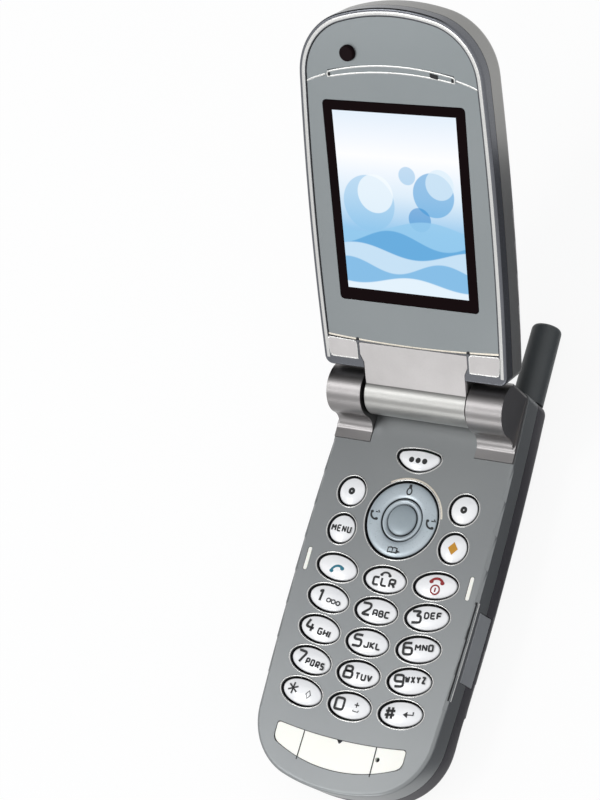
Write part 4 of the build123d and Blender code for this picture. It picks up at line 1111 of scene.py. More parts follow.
class PHONE_OT_legends(bpy.types.Operator):
    """Prints the digits, letters and signs on the keys"""

    bl_idname = "phone.legends"
    bl_label = "Key Legends"

    def digits(self, ink):
        """The number pad: a digit at the left of each key and its letters at the right."""
        digit, small = sizes().digit, sizes().letters
        for node, (sign, letters) in LETTERS.items():
            column = OVAL_KEYS.index(node) % 3
            drawing = Drawing()
            if sign:
                lettering(drawing, sign, digit, DIGIT_AT, weight=0.58, width=1.25)
            if letters:
                height = LETTERS_RAISE if column == 2 else -LETTERS_RAISE
                width = 0.85 if len(letters) == 4 else 1.1
                lettering(drawing, letters, small, (LETTERS_X, height), weight=0.42, width=width)
            if node == "key_1":
                for x in (0.3, 1.6, 2.9):
                    drawing.line(ellipse(0.5, 0.45, 20), 0.3, closed=True, at=(x, -LETTERS_RAISE))
                drawing.line([(0.8, -0.05), (1.1, -0.05)], 0.2)
            if node == "key_star":
                for turn in range(3):
                    drawing.line([(-1.35, 0), (1.35, 0)], 0.38, at=(-2.4, 0.1),
                                 turn=math.pi * (turn / 3 + 1 / 6))
                drawing.line([(0, 0.95), (0.6, 0), (0, -0.95), (-0.6, 0)], 0.24, closed=True, at=(1.9, -0.1))
            if node == "key_0":
                lettering(drawing, "+", 1.7, (1.8, 0.55), weight=0.28)
                drawing.line([(-0.75, 0.15), (-0.6, -0.2), (0.6, -0.2), (0.75, 0.15)], 0.24, at=(1.8, -0.75))
            if node == "key_hash":
                drawing.line([(1.2, 0.6), (1.2, -0.1), (-0.6, -0.1)], 0.3, at=(1.9, 0))
                drawing.patch([(0.6, -0.1), (1.7, 0.6), (1.7, -0.8)])
            print_on(node, drawing, ink, key_turn(node))

    def call_row(self, ink):
        """A lifted handset, CLR under a small one, and a handset laid down over a ring."""
        teal, red = legend_ink("teal_ink", "0f6f84"), legend_ink("red_ink", "8e1519")
        drawing = Drawing()
        handset(drawing, 1.45, (0.0, -0.2), math.radians(26))
        print_on("key_call", drawing, teal, key_turn("key_call"))
        drawing = Drawing()
        handset(drawing, 1.1, (0.0, 1.35))
        lettering(drawing, "CLR", 1.75, (0, -0.55), weight=0.52, width=1.15)
        print_on("key_clear", drawing, ink)
        drawing = Drawing()
        handset(drawing, 1.45, (0.1, 1.25))
        drawing.line(ellipse(1.05, 1.05, 32), 0.36, closed=True, at=(0.1, -0.85))
        drawing.line([(0, 0.5), (0, -0.5)], 0.36, at=(0.1, -0.85))
        print_on("key_end", drawing, red)

    def round_row(self, ink):
        """Rings on the soft keys, MENU, an amber diamond and the three dots of the more key."""
        for node in ("soft_key_left", "soft_key_right"):
            drawing = Drawing()
            drawing.line(ellipse(0.5, 0.5, 28), 0.7, closed=True)
            print_on(node, drawing, ink)
        drawing = Drawing()
        lettering(drawing, "MENU", 1.35, weight=0.36, width=0.85)
        print_on("menu_key", drawing, ink)
        drawing = Drawing()
        drawing.patch([(0, 1.5), (1.25, 0), (0, -1.5), (-1.25, 0)])
        print_on("info_key", drawing, legend_ink("amber_ink", "c48a14"))
        drawing = Drawing()
        for x in (-1.7, 0, 1.7):
            drawing.disc(0.66, (x, 0))
        print_on("more_key", drawing, ink)

    def ring(self, ink):
        """A note, two handsets with arrows and a book round the navigation ring."""
        drawing = Drawing()
        middle = (RING_WELL + SELECT_WELL) / 2
        drawing.patch([(-0.4, middle + 0.5), (0.4, middle + 0.5), (0.3, middle + 1.3), (-0.3, middle + 1.3)])
        drawing.line(ellipse(0.6, 0.8, 24), 0.34, closed=True, at=(0, middle - 0.4))
        for side in (-1, 1):
            handset(drawing, 1.15, (side * middle - 0.15, -0.15), math.radians(135))
            drawing.line([(-0.45, 0.1), (0.6, 0.1), (0.15, 0.55)], 0.32, at=(side * middle + 0.7, 0.8))
            page = [(0, 0.5), (0.5, 0.65), (1.15, 0.5), (1.15, -0.6), (0.5, -0.45), (0, -0.6)]
            drawing.line(mirrored(page, side), 0.34, closed=True, at=(-0.2, -middle))
        drawing.patch([(0.7, -middle + 0.3), (1.9, -middle - 0.2), (0.7, -middle - 0.7)])
        drawing.piece("nav_ring_legend", key_place("nav_ring", 0, PRINT_RISE), ink, "nav_ring_cap",
                      "nav_plastic")

    def execute(self, context):
        ink = legend_ink("grey_ink", "121416")
        self.digits(ink)
        self.call_row(ink)
        self.round_row(ink)
        self.ring(legend_ink("ring_ink", "15191d"))
        return {"FINISHED"}


# How the pictures' shapes fade at their edges, where the lit panels lie on the lid's two faces, how far
# the inner one lies under the frame's face, and what one unit of their UV maps is; all in mm.
WAVE_FADE = (-0.12, 0.25)
ORB_FADE = 0.25
SCREEN_LOW, SCREEN_HIGH = (-15.37, 26.92), (15.37, 68.3)
OUTER_LOW, OUTER_HIGH = (-4.15, -61.7), (4.15, -34.0)
SCREEN_SINK = 0.22
UV_MM = 100.0


def wave(tree, across, up, height, swing, pitch, phase):
    """1 below a wavy line and 0 above it, with a soft edge; sizes in mm."""
    angle = add(tree, "ShaderNodeMath", {"operation": "MULTIPLY_ADD"}, {1: 2 * math.pi / pitch, 2: phase},
                {0: across})
    sine = add(tree, "ShaderNodeMath", {"operation": "SINE"}, links={0: angle.outputs[0]})
    line = add(tree, "ShaderNodeMath", {"operation": "MULTIPLY_ADD"}, {1: swing, 2: height},
               {0: sine.outputs[0]})
    gap = add(tree, "ShaderNodeMath", {"operation": "SUBTRACT"}, links={0: line.outputs[0], 1: up})
    return add(tree, "ShaderNodeMapRange", {"interpolation_type": "SMOOTHSTEP"},
               {"From Min": WAVE_FADE[0], "From Max": WAVE_FADE[1]}, {"Value": gap.outputs[0]}).outputs[0]


def orb(tree, place, centre, radius):
    """1 inside a disc, fading at its edge; sizes in mm."""
    middle = add(tree, "ShaderNodeCombineXYZ", values={0: centre[0], 1: centre[1]})
    away = add(tree, "ShaderNodeVectorMath", {"operation": "DISTANCE"},
               links={0: place, 1: middle.outputs[0]}).outputs["Value"]
    return add(tree, "ShaderNodeMapRange", {"interpolation_type": "SMOOTHSTEP"},
               {"From Min": radius, "From Max": radius - ORB_FADE}, {"Value": away}).outputs[0]


def over(tree, below, colour, mask, strength=1.0):
    """Lays a colour over what is below it, where the mask is 1."""
    weight = add(tree, "ShaderNodeMath", {"operation": "MULTIPLY"}, {1: strength}, {0: mask})
    mixed = add(tree, "ShaderNodeMix", {"data_type": "RGBA"}, {7: linear(colour)},
                {0: weight.outputs[0], 6: below})
    return mixed.outputs[2]


def lit_picture(name, paint, glow):
    """A lit liquid-crystal panel: paint(tree, place) gives its colour at a place in mm."""
    material, tree, shader = blank_material(name)
    uv = add(tree, "ShaderNodeUVMap", {"uv_map": "panel"}).outputs[0]
    place = add(tree, "ShaderNodeVectorMath", {"operation": "SCALE"}, {"Scale": UV_MM}, {0: uv}).outputs[0]
    colour = paint(tree, place)
    tree.links.new(colour, shader.inputs["Emission Color"])
    shader.inputs["Base Color"].default_value = linear("202428")
    shader.inputs["Emission Strength"].default_value = glow
    shader.inputs["Roughness"].default_value = 0.15
    shader.inputs["Specular IOR Level"].default_value = 0.15
    return material


def shaded(tree, value, low, high, first, last, between):
    """Colours a value that runs from low to high, from first over the colours between to last."""
    share = add(tree, "ShaderNodeMapRange", values={"From Min": low, "From Max": high},
                links={"Value": value})
    shades = add(tree, "ShaderNodeValToRGB", links={0: share.outputs[0]})
    ramp = shades.color_ramp
    ramp.elements[0].color, ramp.elements[1].color = linear(first), linear(last)
    for position, colour in between:
        ramp.elements.new(position).color = linear(colour)
    return shades.outputs[0]


# The picture's orbs as (centre, radius, colour, strength), and its waves from the farthest to the nearest as
# (height, swing, pitch, phase, colour, strength); sizes in mm from the middle of the screen's foot.
ORBS = (((8.5, 23.5), 5.2, "5aa8dc", 0.75), ((10.2, 26.0), 3.6, "d9ecf8", 0.7),
        ((-8.0, 20.5), 6.6, "8cc3e8", 0.6), ((-6.2, 22.8), 4.6, "f4fafd", 0.7),
        ((2.2, 27.5), 2.2, "7dbbe4", 0.55), ((4.6, 17.6), 2.9, "2f8fcf", 0.7))
WAVES = ((15.5, 1.7, 34, 0.4, "8fc6ea", 0.85), (12.6, 1.9, 27, 2.3, "4f9fd6", 0.8),
         (9.6, 1.5, 30, 4.1, "cfe6f6", 0.85), (6.0, 1.6, 24, 5.4, "6fb2e0", 0.85),
         (2.6, 1.1, 28, 1.3, "e9f4fb", 0.9))


def wallpaper(tree, place):
    """A calm blue and white picture: a pale sky, floating orbs and rolling waves."""
    axes = add(tree, "ShaderNodeSeparateXYZ", links={0: place})
    across, up = axes.outputs[0], axes.outputs[1]
    picture = shaded(tree, up, 0.0, 41.4, "4f9fd6", "e2edf8",
                     ((0.35, "92c5ea"), (0.55, "dcebf7"), (0.76, "fbfbfe")))
    for centre, radius, colour, strength in ORBS:
        picture = over(tree, picture, colour, orb(tree, place, centre, radius), strength)
    for *form, colour, strength in WAVES:
        picture = over(tree, picture, colour, wave(tree, across, up, *form), strength)
    return picture


def outer_glow(tree, place):
    """The outer screen's blue backlight, brightest towards its right side."""
    axes = add(tree, "ShaderNodeSeparateXYZ", links={0: place})
    return shaded(tree, axes.outputs[0], -4.2, 4.2, "3f7fae", "5f9cc8", ((0.35, "5ea9dc"), (0.75, "86c4ee")))


def panel_sheet(name, low, high, matrix, thickness=0.03):
    """Lays a thin plate over a rectangle, with a UV map whose unit is UV_MM millimetres."""
    bm = bmesh.new()
    corners = [(low[0], low[1]), (high[0], low[1]), (high[0], high[1]), (low[0], high[1])]
    front = [bm.verts.new((x, y, 0)) for x, y in corners]
    back = [bm.verts.new((x, y, -thickness)) for x, y in corners]
    bm.faces.new(front)
    bm.faces.new(back[::-1])
    for i in range(4):
        j = (i + 1) % 4
        bm.faces.new((back[i], back[j], front[j], front[i]))
    layer = bm.loops.layers.uv.new("panel")
    for face in bm.faces:
        for loop in face.loops:
            loop[layer].uv = (loop.vert.co.x / UV_MM, loop.vert.co.y / UV_MM)
    bmesh.ops.transform(bm, matrix=matrix, verts=bm.verts)
    return link_mesh(name, mesh_from(name, bm, outwards=False))


class PHONE_OT_display(bpy.types.Operator):
    """Finishes the screen lens, its picture, the earpiece and the bumper"""

    bl_idname = "phone.display"
    bl_label = "Main Display"

    def execute(self, context):
        softened("main_window", black_glass(), 0.06)
        (left, foot), (right, head) = SCREEN_LOW, SCREEN_HIGH
        place = inner_matrix(-SCREEN_SINK) @ Matrix.Translation((0, foot, 0))
        picture = panel_sheet("screen_picture", (left, 0), (right, head - foot), place)
        lit = lit_picture("lit_wallpaper_panel", wallpaper, 1.0)
        dress(picture, lit, "lid", smooth=0)
        painted("main_lcd", black_plastic())
        softened("earpiece_trim", bpy.data.materials["plate_lacquer"], 0.12)
        softened("lid_bumper", black_rubber(), 0.1)
        painted("earpiece_speaker", bpy.data.materials["black_moulded_abs"])
        return {"FINISHED"}


# Where the lid's painted highlights and joints run on its inner side, in mm from the hinge axis:
# where the frame's outline starts, the insets of its highlight line and of the dark gap beside it,
# and the earpiece's outline.
FRAME_START = 9.0
HIGHLIGHT_INSET, HIGHLIGHT_WIDTH = 1.15, 0.75
GAP_INSET, GAP_WIDTH = 1.82, 0.22
SLOT_HALF, SLOT_END = 15.6, 15.8
SLOT_TOP, SLOT_TOP_MID = 76.9, 78.75
SLOT_LOW, SLOT_LOW_MID = 75.75, 77.3
SLOT_MIDDLE = 76.3
DIVISION = ((21.9, 74.3), (19.0, 75.45), (16.2, SLOT_MIDDLE))
PAD = ((14.45, 9.6), (21.7, 9.6), (22.2, 14.2), (14.45, 13.9), (14.45, 9.6))
FOOT_HALF, FOOT_END, FOOT_MID = 22.1, 14.9, 13.95


class PHONE_OT_lid_lines(bpy.types.Operator):
    """Adds the lid's bright lines, which are painted highlights, and its dark joints"""

    bl_idname = "phone.lid_lines"
    bl_label = "Lid Beads and Joints"

    def bright(self):
        """Painted highlight lines: round the frame, along the division, the earpiece and the corner pads."""
        on_frame, on_plate, on_pads, foot = Drawing(), Drawing(), Drawing(), Drawing()
        on_frame.line(lid_run(HIGHLIGHT_INSET, FRAME_START), HIGHLIGHT_WIDTH)
        for side in (-1, 1):
            on_plate.line(mirrored(DIVISION, side), 0.36)
            on_pads.line(rounded(mirrored(PAD, side), 0.9), 0.22)
        top_left, top_right = (-SLOT_HALF, SLOT_TOP), (SLOT_HALF, SLOT_TOP)
        low_left, low_right = (-SLOT_HALF, SLOT_LOW), (SLOT_HALF, SLOT_LOW)
        slot = arc_through(top_left, (0, SLOT_TOP_MID), top_right, 24) + [top_right, (SLOT_END, SLOT_MIDDLE)]
        slot += arc_through(low_right, (0, SLOT_LOW_MID), low_left, 24) + [low_left, (-SLOT_END, SLOT_MIDDLE)]
        on_plate.line(slot, 0.32, closed=True)
        foot_ends = mirrored([(FOOT_HALF, FOOT_END)], -1) + [(FOOT_HALF, FOOT_END)]
        foot.line(arc_through(foot_ends[0], (0, FOOT_MID), foot_ends[1], 32) + foot_ends[1:], 0.42)
        # The lighter lacquer and the champagne colour make these lines painted highlights.
        silver, varnish = bpy.data.materials["painted_highlight_lacquer"], bpy.data.materials["champagne_painted_highlight"]
        on_frame.piece("frame_painted_highlight", inner_matrix(), silver, "lid", "satin_silver")
        on_plate.piece("plate_painted_highlights", inner_matrix(0.01 - PLATE_SINK), silver, "lid", "display_plate_paint")
        on_pads.piece("pad_painted_highlights", inner_matrix(0.1), silver, "lid", "warm_silver")
        foot.piece("foot_painted_highlight", inner_matrix(0.03 - PLATE_SINK), varnish, "lid", "display_plate_paint")

    def dark(self):
        """The earpiece's dark ends and insert, the notches by the pads, the frame's gap and the seam."""
        shadow = groove_shadow()
        seam, details = Drawing(), Drawing()
        seam.line(lid_run(SEAM_INSET, 8.0), SEAM_WIDTH, flat=False)
        seam.piece("lid_seam", inner_matrix(-LID_SEAM_DEPTH), shadow, "lid", "black_plastic")
        details.line(lid_run(GAP_INSET, FRAME_START), GAP_WIDTH)
        for side in (-1, 1):
            details.patch(mirrored([(15.0, 75.95), (15.5, 75.9), (15.5, 76.7), (15.0, 76.75)], side))
            details.disc(0.45, (side * 14.25, 14.3))
            details.line(mirrored([(14.2, 14.3), (14.2, 10.6)], side), 0.55)
        details.patch([(9.9, 76.8), (11.8, 76.4), (11.8, 77.3), (9.9, 77.75)])
        details.piece("lid_dark_details", inner_matrix(0.035 - PLATE_SINK), shadow, "lid", "black_plastic")

    def execute(self, context):
        self.bright()
        self.dark()
        return {"FINISHED"}


# The chin window's outline in mm: the ends of its two arcs and their middles, how far along them the
# corners start and the straight part of its ends; then its joints' two ends and the notch in its top edge.
CHIN_WIDE, CHIN_TOP, CHIN_TOP_MID, CHIN_LOW, CHIN_LOW_MID = 16.7, -78.4, -79.6, -82.6, -86.6
CHIN_TOP_KEPT, CHIN_LOW_KEPT = 16.0, 15.4
CHIN_SIDE_TOP, CHIN_SIDE_LOW = -79.3, -80.8
CHIN_JOINT = ((9.35, -79.3), (9.48, -86.0))
CHIN_NOTCH = ((-0.75, -79.62), (0.75, -79.62), (0.12, -80.4), (-0.12, -80.4))

# The rail along the right side in mm: where it starts and ends, its inset and width with the wider ends, and
# the dark groove behind it; then how deep both lie under the cover's face.
RAIL_FROM, RAIL_TO = -43.0, -66.0
RAIL_INSET, RAIL_WIDTH, RAIL_END_WIDTH = 0.12, 0.5, 0.75
GROOVE_INSET, GROOVE_WIDTH = 0.2, 0.42
RAIL_DEPTH, GROOVE_DEPTH = 1.05, 0.32


class PHONE_OT_base_lines(bpy.types.Operator):
    """Adds the chin window's joints, the base's seam and the rail along its right side"""

    bl_idname = "phone.base_lines"
    bl_label = "Base Joints and Rail"

    def chin_edge(self):
        """The chin window's outline, with its four corners rounded."""
        ends = [(-CHIN_WIDE, CHIN_TOP), (CHIN_WIDE, CHIN_TOP), (CHIN_WIDE, CHIN_LOW), (-CHIN_WIDE, CHIN_LOW)]
        top = [p for p in arc_through(ends[0], (0, CHIN_TOP_MID), ends[1], 40) if abs(p[0]) < CHIN_TOP_KEPT]
        low = [p for p in arc_through(ends[2], (0, CHIN_LOW_MID), ends[3], 40) if abs(p[0]) < CHIN_LOW_KEPT]
        edge = top + bend(top[-1], ends[1], (CHIN_WIDE, CHIN_SIDE_TOP))
        edge += bend((CHIN_WIDE, CHIN_SIDE_LOW), ends[2], low[0]) + low
        edge += bend(low[-1], ends[3], (-CHIN_WIDE, CHIN_SIDE_LOW))
        return edge + bend((-CHIN_WIDE, CHIN_SIDE_TOP), ends[0], top[0])

    def execute(self, context):
        gap, cover = bpy.data.materials["moulding_gap"], SLOT_OF["base_front_cover"]
        joints, seam, rail, groove = Drawing(), Drawing(), Drawing(), Drawing()
        for side in (-1, 1):
            joints.line(mirrored(CHIN_JOINT, side), 0.26)
        joints.patch(CHIN_NOTCH)
        joints.line(self.chin_edge(), 0.14, closed=True)
        joints.piece("chin_joints", base_matrix(), gap, "base", SLOT_OF["chin_window"])
        seam.line(base_run(SEAM_INSET, BASE_ROOT + 0.2), SEAM_WIDTH, flat=False)
        seam.piece("base_seam", base_matrix(-BASE_SEAM_DEPTH), gap, "base", cover)
        run = [(x, y) for x, y in base_run(RAIL_INSET, 0.0) if x > 0 and RAIL_TO < y < RAIL_FROM]
        rail.line(run, RAIL_WIDTH, flat=False)
        for end in (run[:2], run[-2:]):
            rail.line([(x - RAIL_INSET, y) for x, y in end], RAIL_END_WIDTH, flat=False)
        groove.line([(x - GROOVE_INSET, y) for x, y in run], GROOVE_WIDTH, flat=False)
        # The rail and its wider ends take the lighter lacquer: a painted highlight along the ridge.
        rail.piece("side_rail", base_matrix(-RAIL_DEPTH), bpy.data.materials["painted_highlight_lacquer"], "base",
                   cover)
        groove.piece("side_rail_groove", base_matrix(-GROOVE_DEPTH), gap, "base", cover)
        return {"FINISHED"}


class PHONE_OT_outer_display(bpy.types.Operator):
    """Finishes the outer window, its clock and the indicator"""

    bl_idname = "phone.outer_display"
    bl_label = "Outer Display"

    def execute(self, context):
        softened("sub_window", grey_window(), 0.25, 3)
        glow = panel_sheet("outer_screen_picture", OUTER_LOW, OUTER_HIGH, outer_matrix(-0.02))
        dress(glow, lit_picture("lit_outer_panel", outer_glow, 0.8), "lid", smooth=0)
        painted("sub_lcd", bpy.data.materials["black_moulded_abs"])
        ink = legend_ink("segment_ink", "0b1626")
        drawing = Drawing()
        down = -math.pi / 2
        lettering(drawing, "12:34", 3.3, (-1.3, -40.4), weight=0.5, turn=down, width=0.78)
        lettering(drawing, "12/24(TUE)", 1.9, (-1.6, -53.6), weight=0.34, turn=down, width=0.66)
        drawing.patch([(1.6, -35.3), (3.3, -35.3), (3.3, -38.0), (1.6, -38.0)])
        drawing.disc(0.7, (2.6, -43.2))
        drawing.line([(2.0, -45.5), (3.4, -45.5), (3.4, -47.3), (2.0, -47.3)], 0.25, closed=True)
        lettering(drawing, "T", 1.6, (2.6, -60.2), weight=0.3, turn=down)
        drawing.piece("outer_screen_digits", outer_matrix(), ink, "lid", "lcd_panel")
        softened("indicator_window", finish("smoked_acrylic", "20222e", "2a2d3a", roughness=0.15), 0.08)
        return {"FINISHED"}


# How far beyond the hinge axis the camera and the two lamps stand, in mm.
CAMERA_Y, OVAL_LAMP_Y, RIBBED_LAMP_Y = -80.7, -67.1, -70.9


class PHONE_OT_camera(bpy.types.Operator):
    """Finishes the camera panel, its rings and lens, and the lamps"""

    bl_idname = "phone.camera"
    bl_label = "Camera"

    def execute(self, context):
        softened("camera_panel", camera_lacquer(), 0.1)
        place = outer_matrix() @ Matrix.Translation((0, CAMERA_Y, 0))
        bezel = [(5.95, -0.7), (6.85, -0.7), (6.85, -0.1), (6.7, 0.1), (6.4, 0.22), (6.1, 0.1), (5.95, -0.2)]
        chrome_metal = chrome()
        outer = turned("camera_bezel", bezel, place, hollow=True)
        dress(outer, chrome_metal, "lid", smooth=60)
        collar = [(4.05, -0.7), (5.75, -0.7), (5.75, 0.2), (5.6, 0.42), (5.25, 0.53), (4.9, 0.5), (4.4, 0.25),
                  (4.05, -0.1)]
        inner = turned("camera_collar", collar, place, hollow=True)
        dress(inner, chrome_metal, "lid", smooth=60)
        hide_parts("camera_ring")
        disc = [(3.95, -0.75), (3.95, -0.25), (3.8, -0.18), (2.3, -0.14), (2.1, -0.3)]
        dark = turned("camera_lens_window", disc, place)
        dress(dark, bpy.data.materials["printed_screen_lens"], "lid", smooth=50)
        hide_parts("camera_lens")
        dome = [(2.05, -0.32), (1.9, -0.12), (1.5, 0.0), (0.9, 0.08), (0.3, 0.1)]
        lens = turned("camera_lens_dome", dome, place)
        glass = finish("coated_lens_glass", "3c3e42", "55585c", roughness=0.08, coat=0.8, coat_roughness=0.02)
        dress(lens, glass, "lid", smooth=60)
        self.lamps()
        return {"FINISHED"}

    def lamp(self, name, outline, y, levels):
        """A domed lamp: its outline shrunk to each level's share at the level's height."""
        rings = [[(x * t, y_out * t + y, z) for x, y_out in outline] for t, z in levels]
        obj = rings_mesh(name, rings, outer_matrix())
        return dress(obj, bpy.data.materials["opal_acrylic"], "lid", smooth=60)

    def lamps(self):
        """The oval lamp and the ribbed lamp lens above the camera."""
        oval = self.lamp("lamp_oval", ellipse(1.8, 0.9, 48), OVAL_LAMP_Y,
                         ((1, -0.6), (1, 0.02), (0.92, 0.14), (0.6, 0.22), (0.2, 0.25)))
        half_high, depth = 2.05, 0.07
        scallop = []
        for x, y in ellipse(1.0, 1.0, TURNED_SIDES):
            wobble = 1 - depth * (0.5 - 0.5 * math.cos(3 * math.pi * y)) * abs(x)
            scallop.append((1.9 * x * wobble, half_high * y))
        self.lamp("lamp_ribbed", scallop, RIBBED_LAMP_Y,
                  ((1, -0.6), (1, 0.02), (0.9, 0.12), (0.5, 0.16), (0.2, 0.16)))
        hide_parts("flash_lenses")


class PHONE_OT_antenna(bpy.types.Operator):
    """Finishes the stub antenna"""

    bl_idname = "phone.antenna"
    bl_label = "Antenna"

    def execute(self, context):
        softened("antenna", antenna_plastic(), 0.25, 3)
        return {"FINISHED"}


class PHONE_OT_lights(bpy.types.Operator):
    """Finishes the chin window and the light strips"""

    bl_idname = "phone.lights"
    bl_label = "Chin Window and Light Strips"

    def execute(self, context):
        cream = cream_diffuser()
        softened("chin_window", cream, 0.1)
        softened("side_light_strips", cream, 0.08, 2)
        return {"FINISHED"}


class PHONE_OT_inside(bpy.types.Operator):
    """Finishes what the casings hold"""

    bl_idname = "phone.inside"
    bl_label = "Inside"

    def execute(self, context):
        board = board_laminate()
        black = bpy.data.materials["black_moulded_abs"]
        painted("main_board", board)
        painted("lid_board", board)
        painted("battery_pack", battery_wrap())
        painted("shield_can", tinned_steel())
        painted("keypad_membrane", bpy.data.materials["black_silicone_rubber"])
        painted("bottom_connector", black)
        painted("microphone", black)
        painted("case_screws", bpy.data.materials["zinc_plated_steel"])
        return {"FINISHED"}


class PHONE_OT_grip(bpy.types.Operator):
    """Moulds the ribs on the battery cover"""

    bl_idname = "phone.grip"
    bl_label = "Grip Ribs"

    def execute(self, context):
        from_edge, pitch, height = 9.0, 1.2, 0.12
        low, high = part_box("battery_cover")
        ribs = [(0, high.y / MM - from_edge - pitch * i, low.z / MM + height / 2) for i in range(6)]
        material = bpy.data.materials["dark_casing"]
        obj = points_object("battery_grip_ribs", ribs)
        run_tree(obj, rib_tree(material), {"Length": 12.0, "Width": 0.6, "Height": height})
        dress(obj, material, "base", smooth=40)
        return {"FINISHED"}


# The floor's distance under the object in metres; the share of what is seen of it that is plain white and
# takes no shadow; and the strength of the even light from all round.
FLOOR_GAP = 0.0001
FLOOR_WHITE = 0.9
WORLD_STRENGTH = 0.8


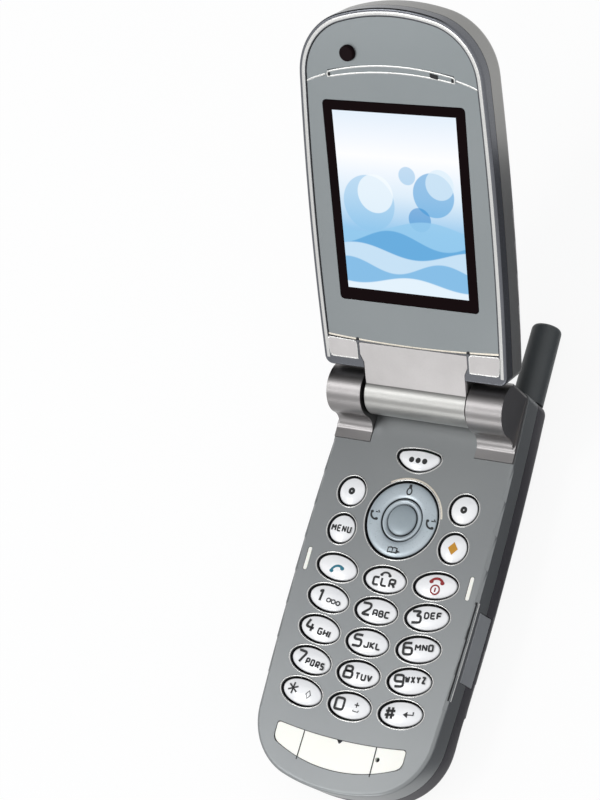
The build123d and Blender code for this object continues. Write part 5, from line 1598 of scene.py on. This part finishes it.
class PHONE_OT_stage(bpy.types.Operator):
    """Lays a pale floor and sets the lights and the camera"""

    bl_idname = "phone.stage"
    bl_label = "Stage"

    def seen(self, tree):
        """1 for what the camera sees, straight on, mirrored or through glass."""
        rays = add(tree, "ShaderNodeLightPath")
        direct = add(tree, "ShaderNodeMath", {"operation": "MAXIMUM"},
                     links={0: rays.outputs["Is Camera Ray"], 1: rays.outputs["Is Glossy Ray"]})
        return add(tree, "ShaderNodeMath", {"operation": "MAXIMUM"},
                   links={0: direct.outputs[0], 1: rays.outputs["Is Transmission Ray"]})

    def floor(self):
        """A pale matte sweep that keeps the object's shadow."""
        material, tree, shader = blank_material("pale_studio_floor")
        place = add(tree, "ShaderNodeTexCoord").outputs["Object"]
        noise = add(tree, "ShaderNodeTexNoise", values={"Scale": per_mm(60)}, links={"Vector": place})
        tint = add(tree, "ShaderNodeMix", {"data_type": "RGBA"}, {6: linear("f6f6f6"), 7: linear("fbfbfb")},
                   {0: noise.outputs[0]})
        tree.links.new(tint.outputs[2], shader.inputs["Base Color"])
        shader.inputs["Roughness"].default_value = 0.9
        shader.inputs["Specular IOR Level"].default_value = 0.1
        seen = self.seen(tree)
        share = add(tree, "ShaderNodeMath", {"operation": "MULTIPLY"}, {1: FLOOR_WHITE}, {0: seen.outputs[0]})
        white = add(tree, "ShaderNodeEmission", values={"Color": (1, 1, 1, 1), "Strength": 1.0})
        mixed = add(tree, "ShaderNodeMixShader",
                    links={0: share.outputs[0], 1: shader.outputs[0], 2: white.outputs[0]})
        tree.links.new(mixed.outputs[0], tree.nodes["Material Output"].inputs["Surface"])
        bm = bmesh.new()
        bmesh.ops.create_grid(bm, x_segments=4, y_segments=4, size=3.0)
        mesh = mesh_from("floor", bm, outwards=False)
        mesh.transform(Matrix.Translation((0, 0, CAD_BOX[0][2] - FLOOR_GAP)))
        obj = link_mesh("floor", mesh)
        obj.data.materials.append(material)

    def world(self):
        """A soft even light, and plain white for what is seen or mirrored."""
        world = bpy.data.worlds.new("studio")
        bpy.context.scene.world = world
        world.use_nodes = True
        tree = world.node_tree
        tree.nodes.clear()
        seen = self.seen(tree)
        plain = add(tree, "ShaderNodeBackground",
                    values={"Color": linear("f4f5f7"), "Strength": WORLD_STRENGTH})
        white = add(tree, "ShaderNodeBackground", values={"Color": (1, 1, 1, 1), "Strength": 1.0})
        mixed = add(tree, "ShaderNodeMixShader",
                    links={0: seen.outputs[0], 1: plain.outputs[0], 2: white.outputs[0]})
        add(tree, "ShaderNodeOutputWorld", links={"Surface": mixed.outputs[0]})

    def lamp(self, name, place, aim, size, watts):
        """A soft box at place, in metres, turned to aim."""
        light = bpy.data.lights.new(name, "AREA")
        light.shape = "RECTANGLE"
        light.size, light.size_y = size
        light.energy = watts
        obj = bpy.data.objects.new(name, light)
        bpy.context.scene.collection.objects.link(obj)
        obj.location = place
        obj.rotation_euler = (Vector(aim) - Vector(place)).to_track_quat("-Z", "Y").to_euler()

    def flag(self, name, place, aim, size, felt):
        """A dark card that is only seen mirrored, for the dark bands on metal; it casts no shadow."""
        bm = bmesh.new()
        bmesh.ops.create_grid(bm, x_segments=1, y_segments=1, size=0.5)
        mesh = mesh_from(name, bm, outwards=False)
        turn = (Vector(aim) - Vector(place)).to_track_quat("-Z", "Y").to_matrix().to_4x4()
        mesh.transform(Matrix.Translation(place) @ turn @ Matrix.Diagonal((*size, 1, 1)))
        obj = link_mesh(name, mesh)
        obj.data.materials.append(felt)
        obj.visible_camera = obj.visible_diffuse = obj.visible_shadow = False

    def camera(self):
        """The camera, from its three axes and its place in mm from the hinge axis and the keypad cover."""
        right, down = Vector((0.84661, 0.27569, -0.45525)), Vector((0.12543, -0.93464, -0.33275))
        ahead = Vector((-0.51723, 0.22461, -0.82585))
        data = bpy.data.cameras.new("camera")
        data.sensor_width = 36.0
        data.lens = 99.31
        data.clip_end = 20.0
        obj = bpy.data.objects.new("camera", data)
        bpy.context.scene.collection.objects.link(obj)
        turn = Matrix((right, -down, -ahead)).transposed()
        place = Vector((237.13, -121.65 + HINGE.y, 435.08 + COVER_TOP)) * MM
        obj.matrix_world = Matrix.Translation(place) @ turn.to_4x4()
        bpy.context.scene.camera = obj

    def execute(self, context):
        self.floor()
        self.world()
        self.flag("back_flag", (-0.41, 0.65, 0.54), (0, 0.03, 0.02), (1.2, 0.95),
                  flag_felt("black_felt", "0c0c0d"))
        self.flag("side_flag", (0.103, 0.02, 0.001), (0.103, 0.02, 1.0), (0.157, 0.19),
                  flag_felt("grey_felt", "85868a"))
        self.lamp("key_light", (-0.48, -0.5, 0.72), (0, 0.02, 0.02), (0.4, 0.12), 1.0)
        self.lamp("front_light", (-0.2, -0.87, 0.17), (0, 0.05, 0.03), (0.5, 0.15), 1.3)
        self.lamp("top_light", (-0.48, -0.14, 0.87), (0, -0.05, 0.02), (0.3, 0.16), 1.4)
        self.camera()
        context.scene.view_settings.view_transform = "Standard"
        return {"FINISHED"}


class PHONE_PT_finish(bpy.types.Panel):
    """Lists the phone's pieces and their settings"""

    bl_idname = "PHONE_PT_finish"
    bl_label = "Flip Phone"
    bl_space_type = "VIEW_3D"
    bl_region_type = "UI"
    bl_category = "Phone"

    def draw(self, context):
        for group in (context.scene.phone_sizes, context.scene.phone_colours):
            for name in group.bl_rna.properties.keys():
                if name not in ("rna_type", "name"):
                    self.layout.prop(group, name)
        for operator in STEPS:
            self.layout.operator(operator.bl_idname)


# In the order in which they run: a later one uses finishes that an earlier one made.
STEPS = (PHONE_OT_casings, PHONE_OT_hinge, PHONE_OT_lights, PHONE_OT_keys, PHONE_OT_navigation,
         PHONE_OT_wells, PHONE_OT_legends, PHONE_OT_display, PHONE_OT_lid_lines, PHONE_OT_base_lines,
         PHONE_OT_outer_display, PHONE_OT_camera, PHONE_OT_antenna, PHONE_OT_inside, PHONE_OT_grip,
         PHONE_OT_stage)
CLASSES = (PhoneSizes, PhoneColours) + STEPS + (PHONE_PT_finish,)


def register():
    """Registers the settings, the operators and the panel."""
    for item in CLASSES:
        bpy.utils.register_class(item)
    bpy.types.Scene.phone_sizes = bpy.props.PointerProperty(type=PhoneSizes)
    bpy.types.Scene.phone_colours = bpy.props.PointerProperty(type=PhoneColours)


def unregister():
    """Takes back what register added."""
    del bpy.types.Scene.phone_colours
    del bpy.types.Scene.phone_sizes
    for item in reversed(CLASSES):
        bpy.utils.unregister_class(item)


def main():
    """Dresses the phone and sets the stage."""
    register()
    for operator in STEPS:
        group, name = operator.bl_idname.split(".")
        getattr(getattr(bpy.ops, group), name)()


if __name__ == "__main__":
    main()
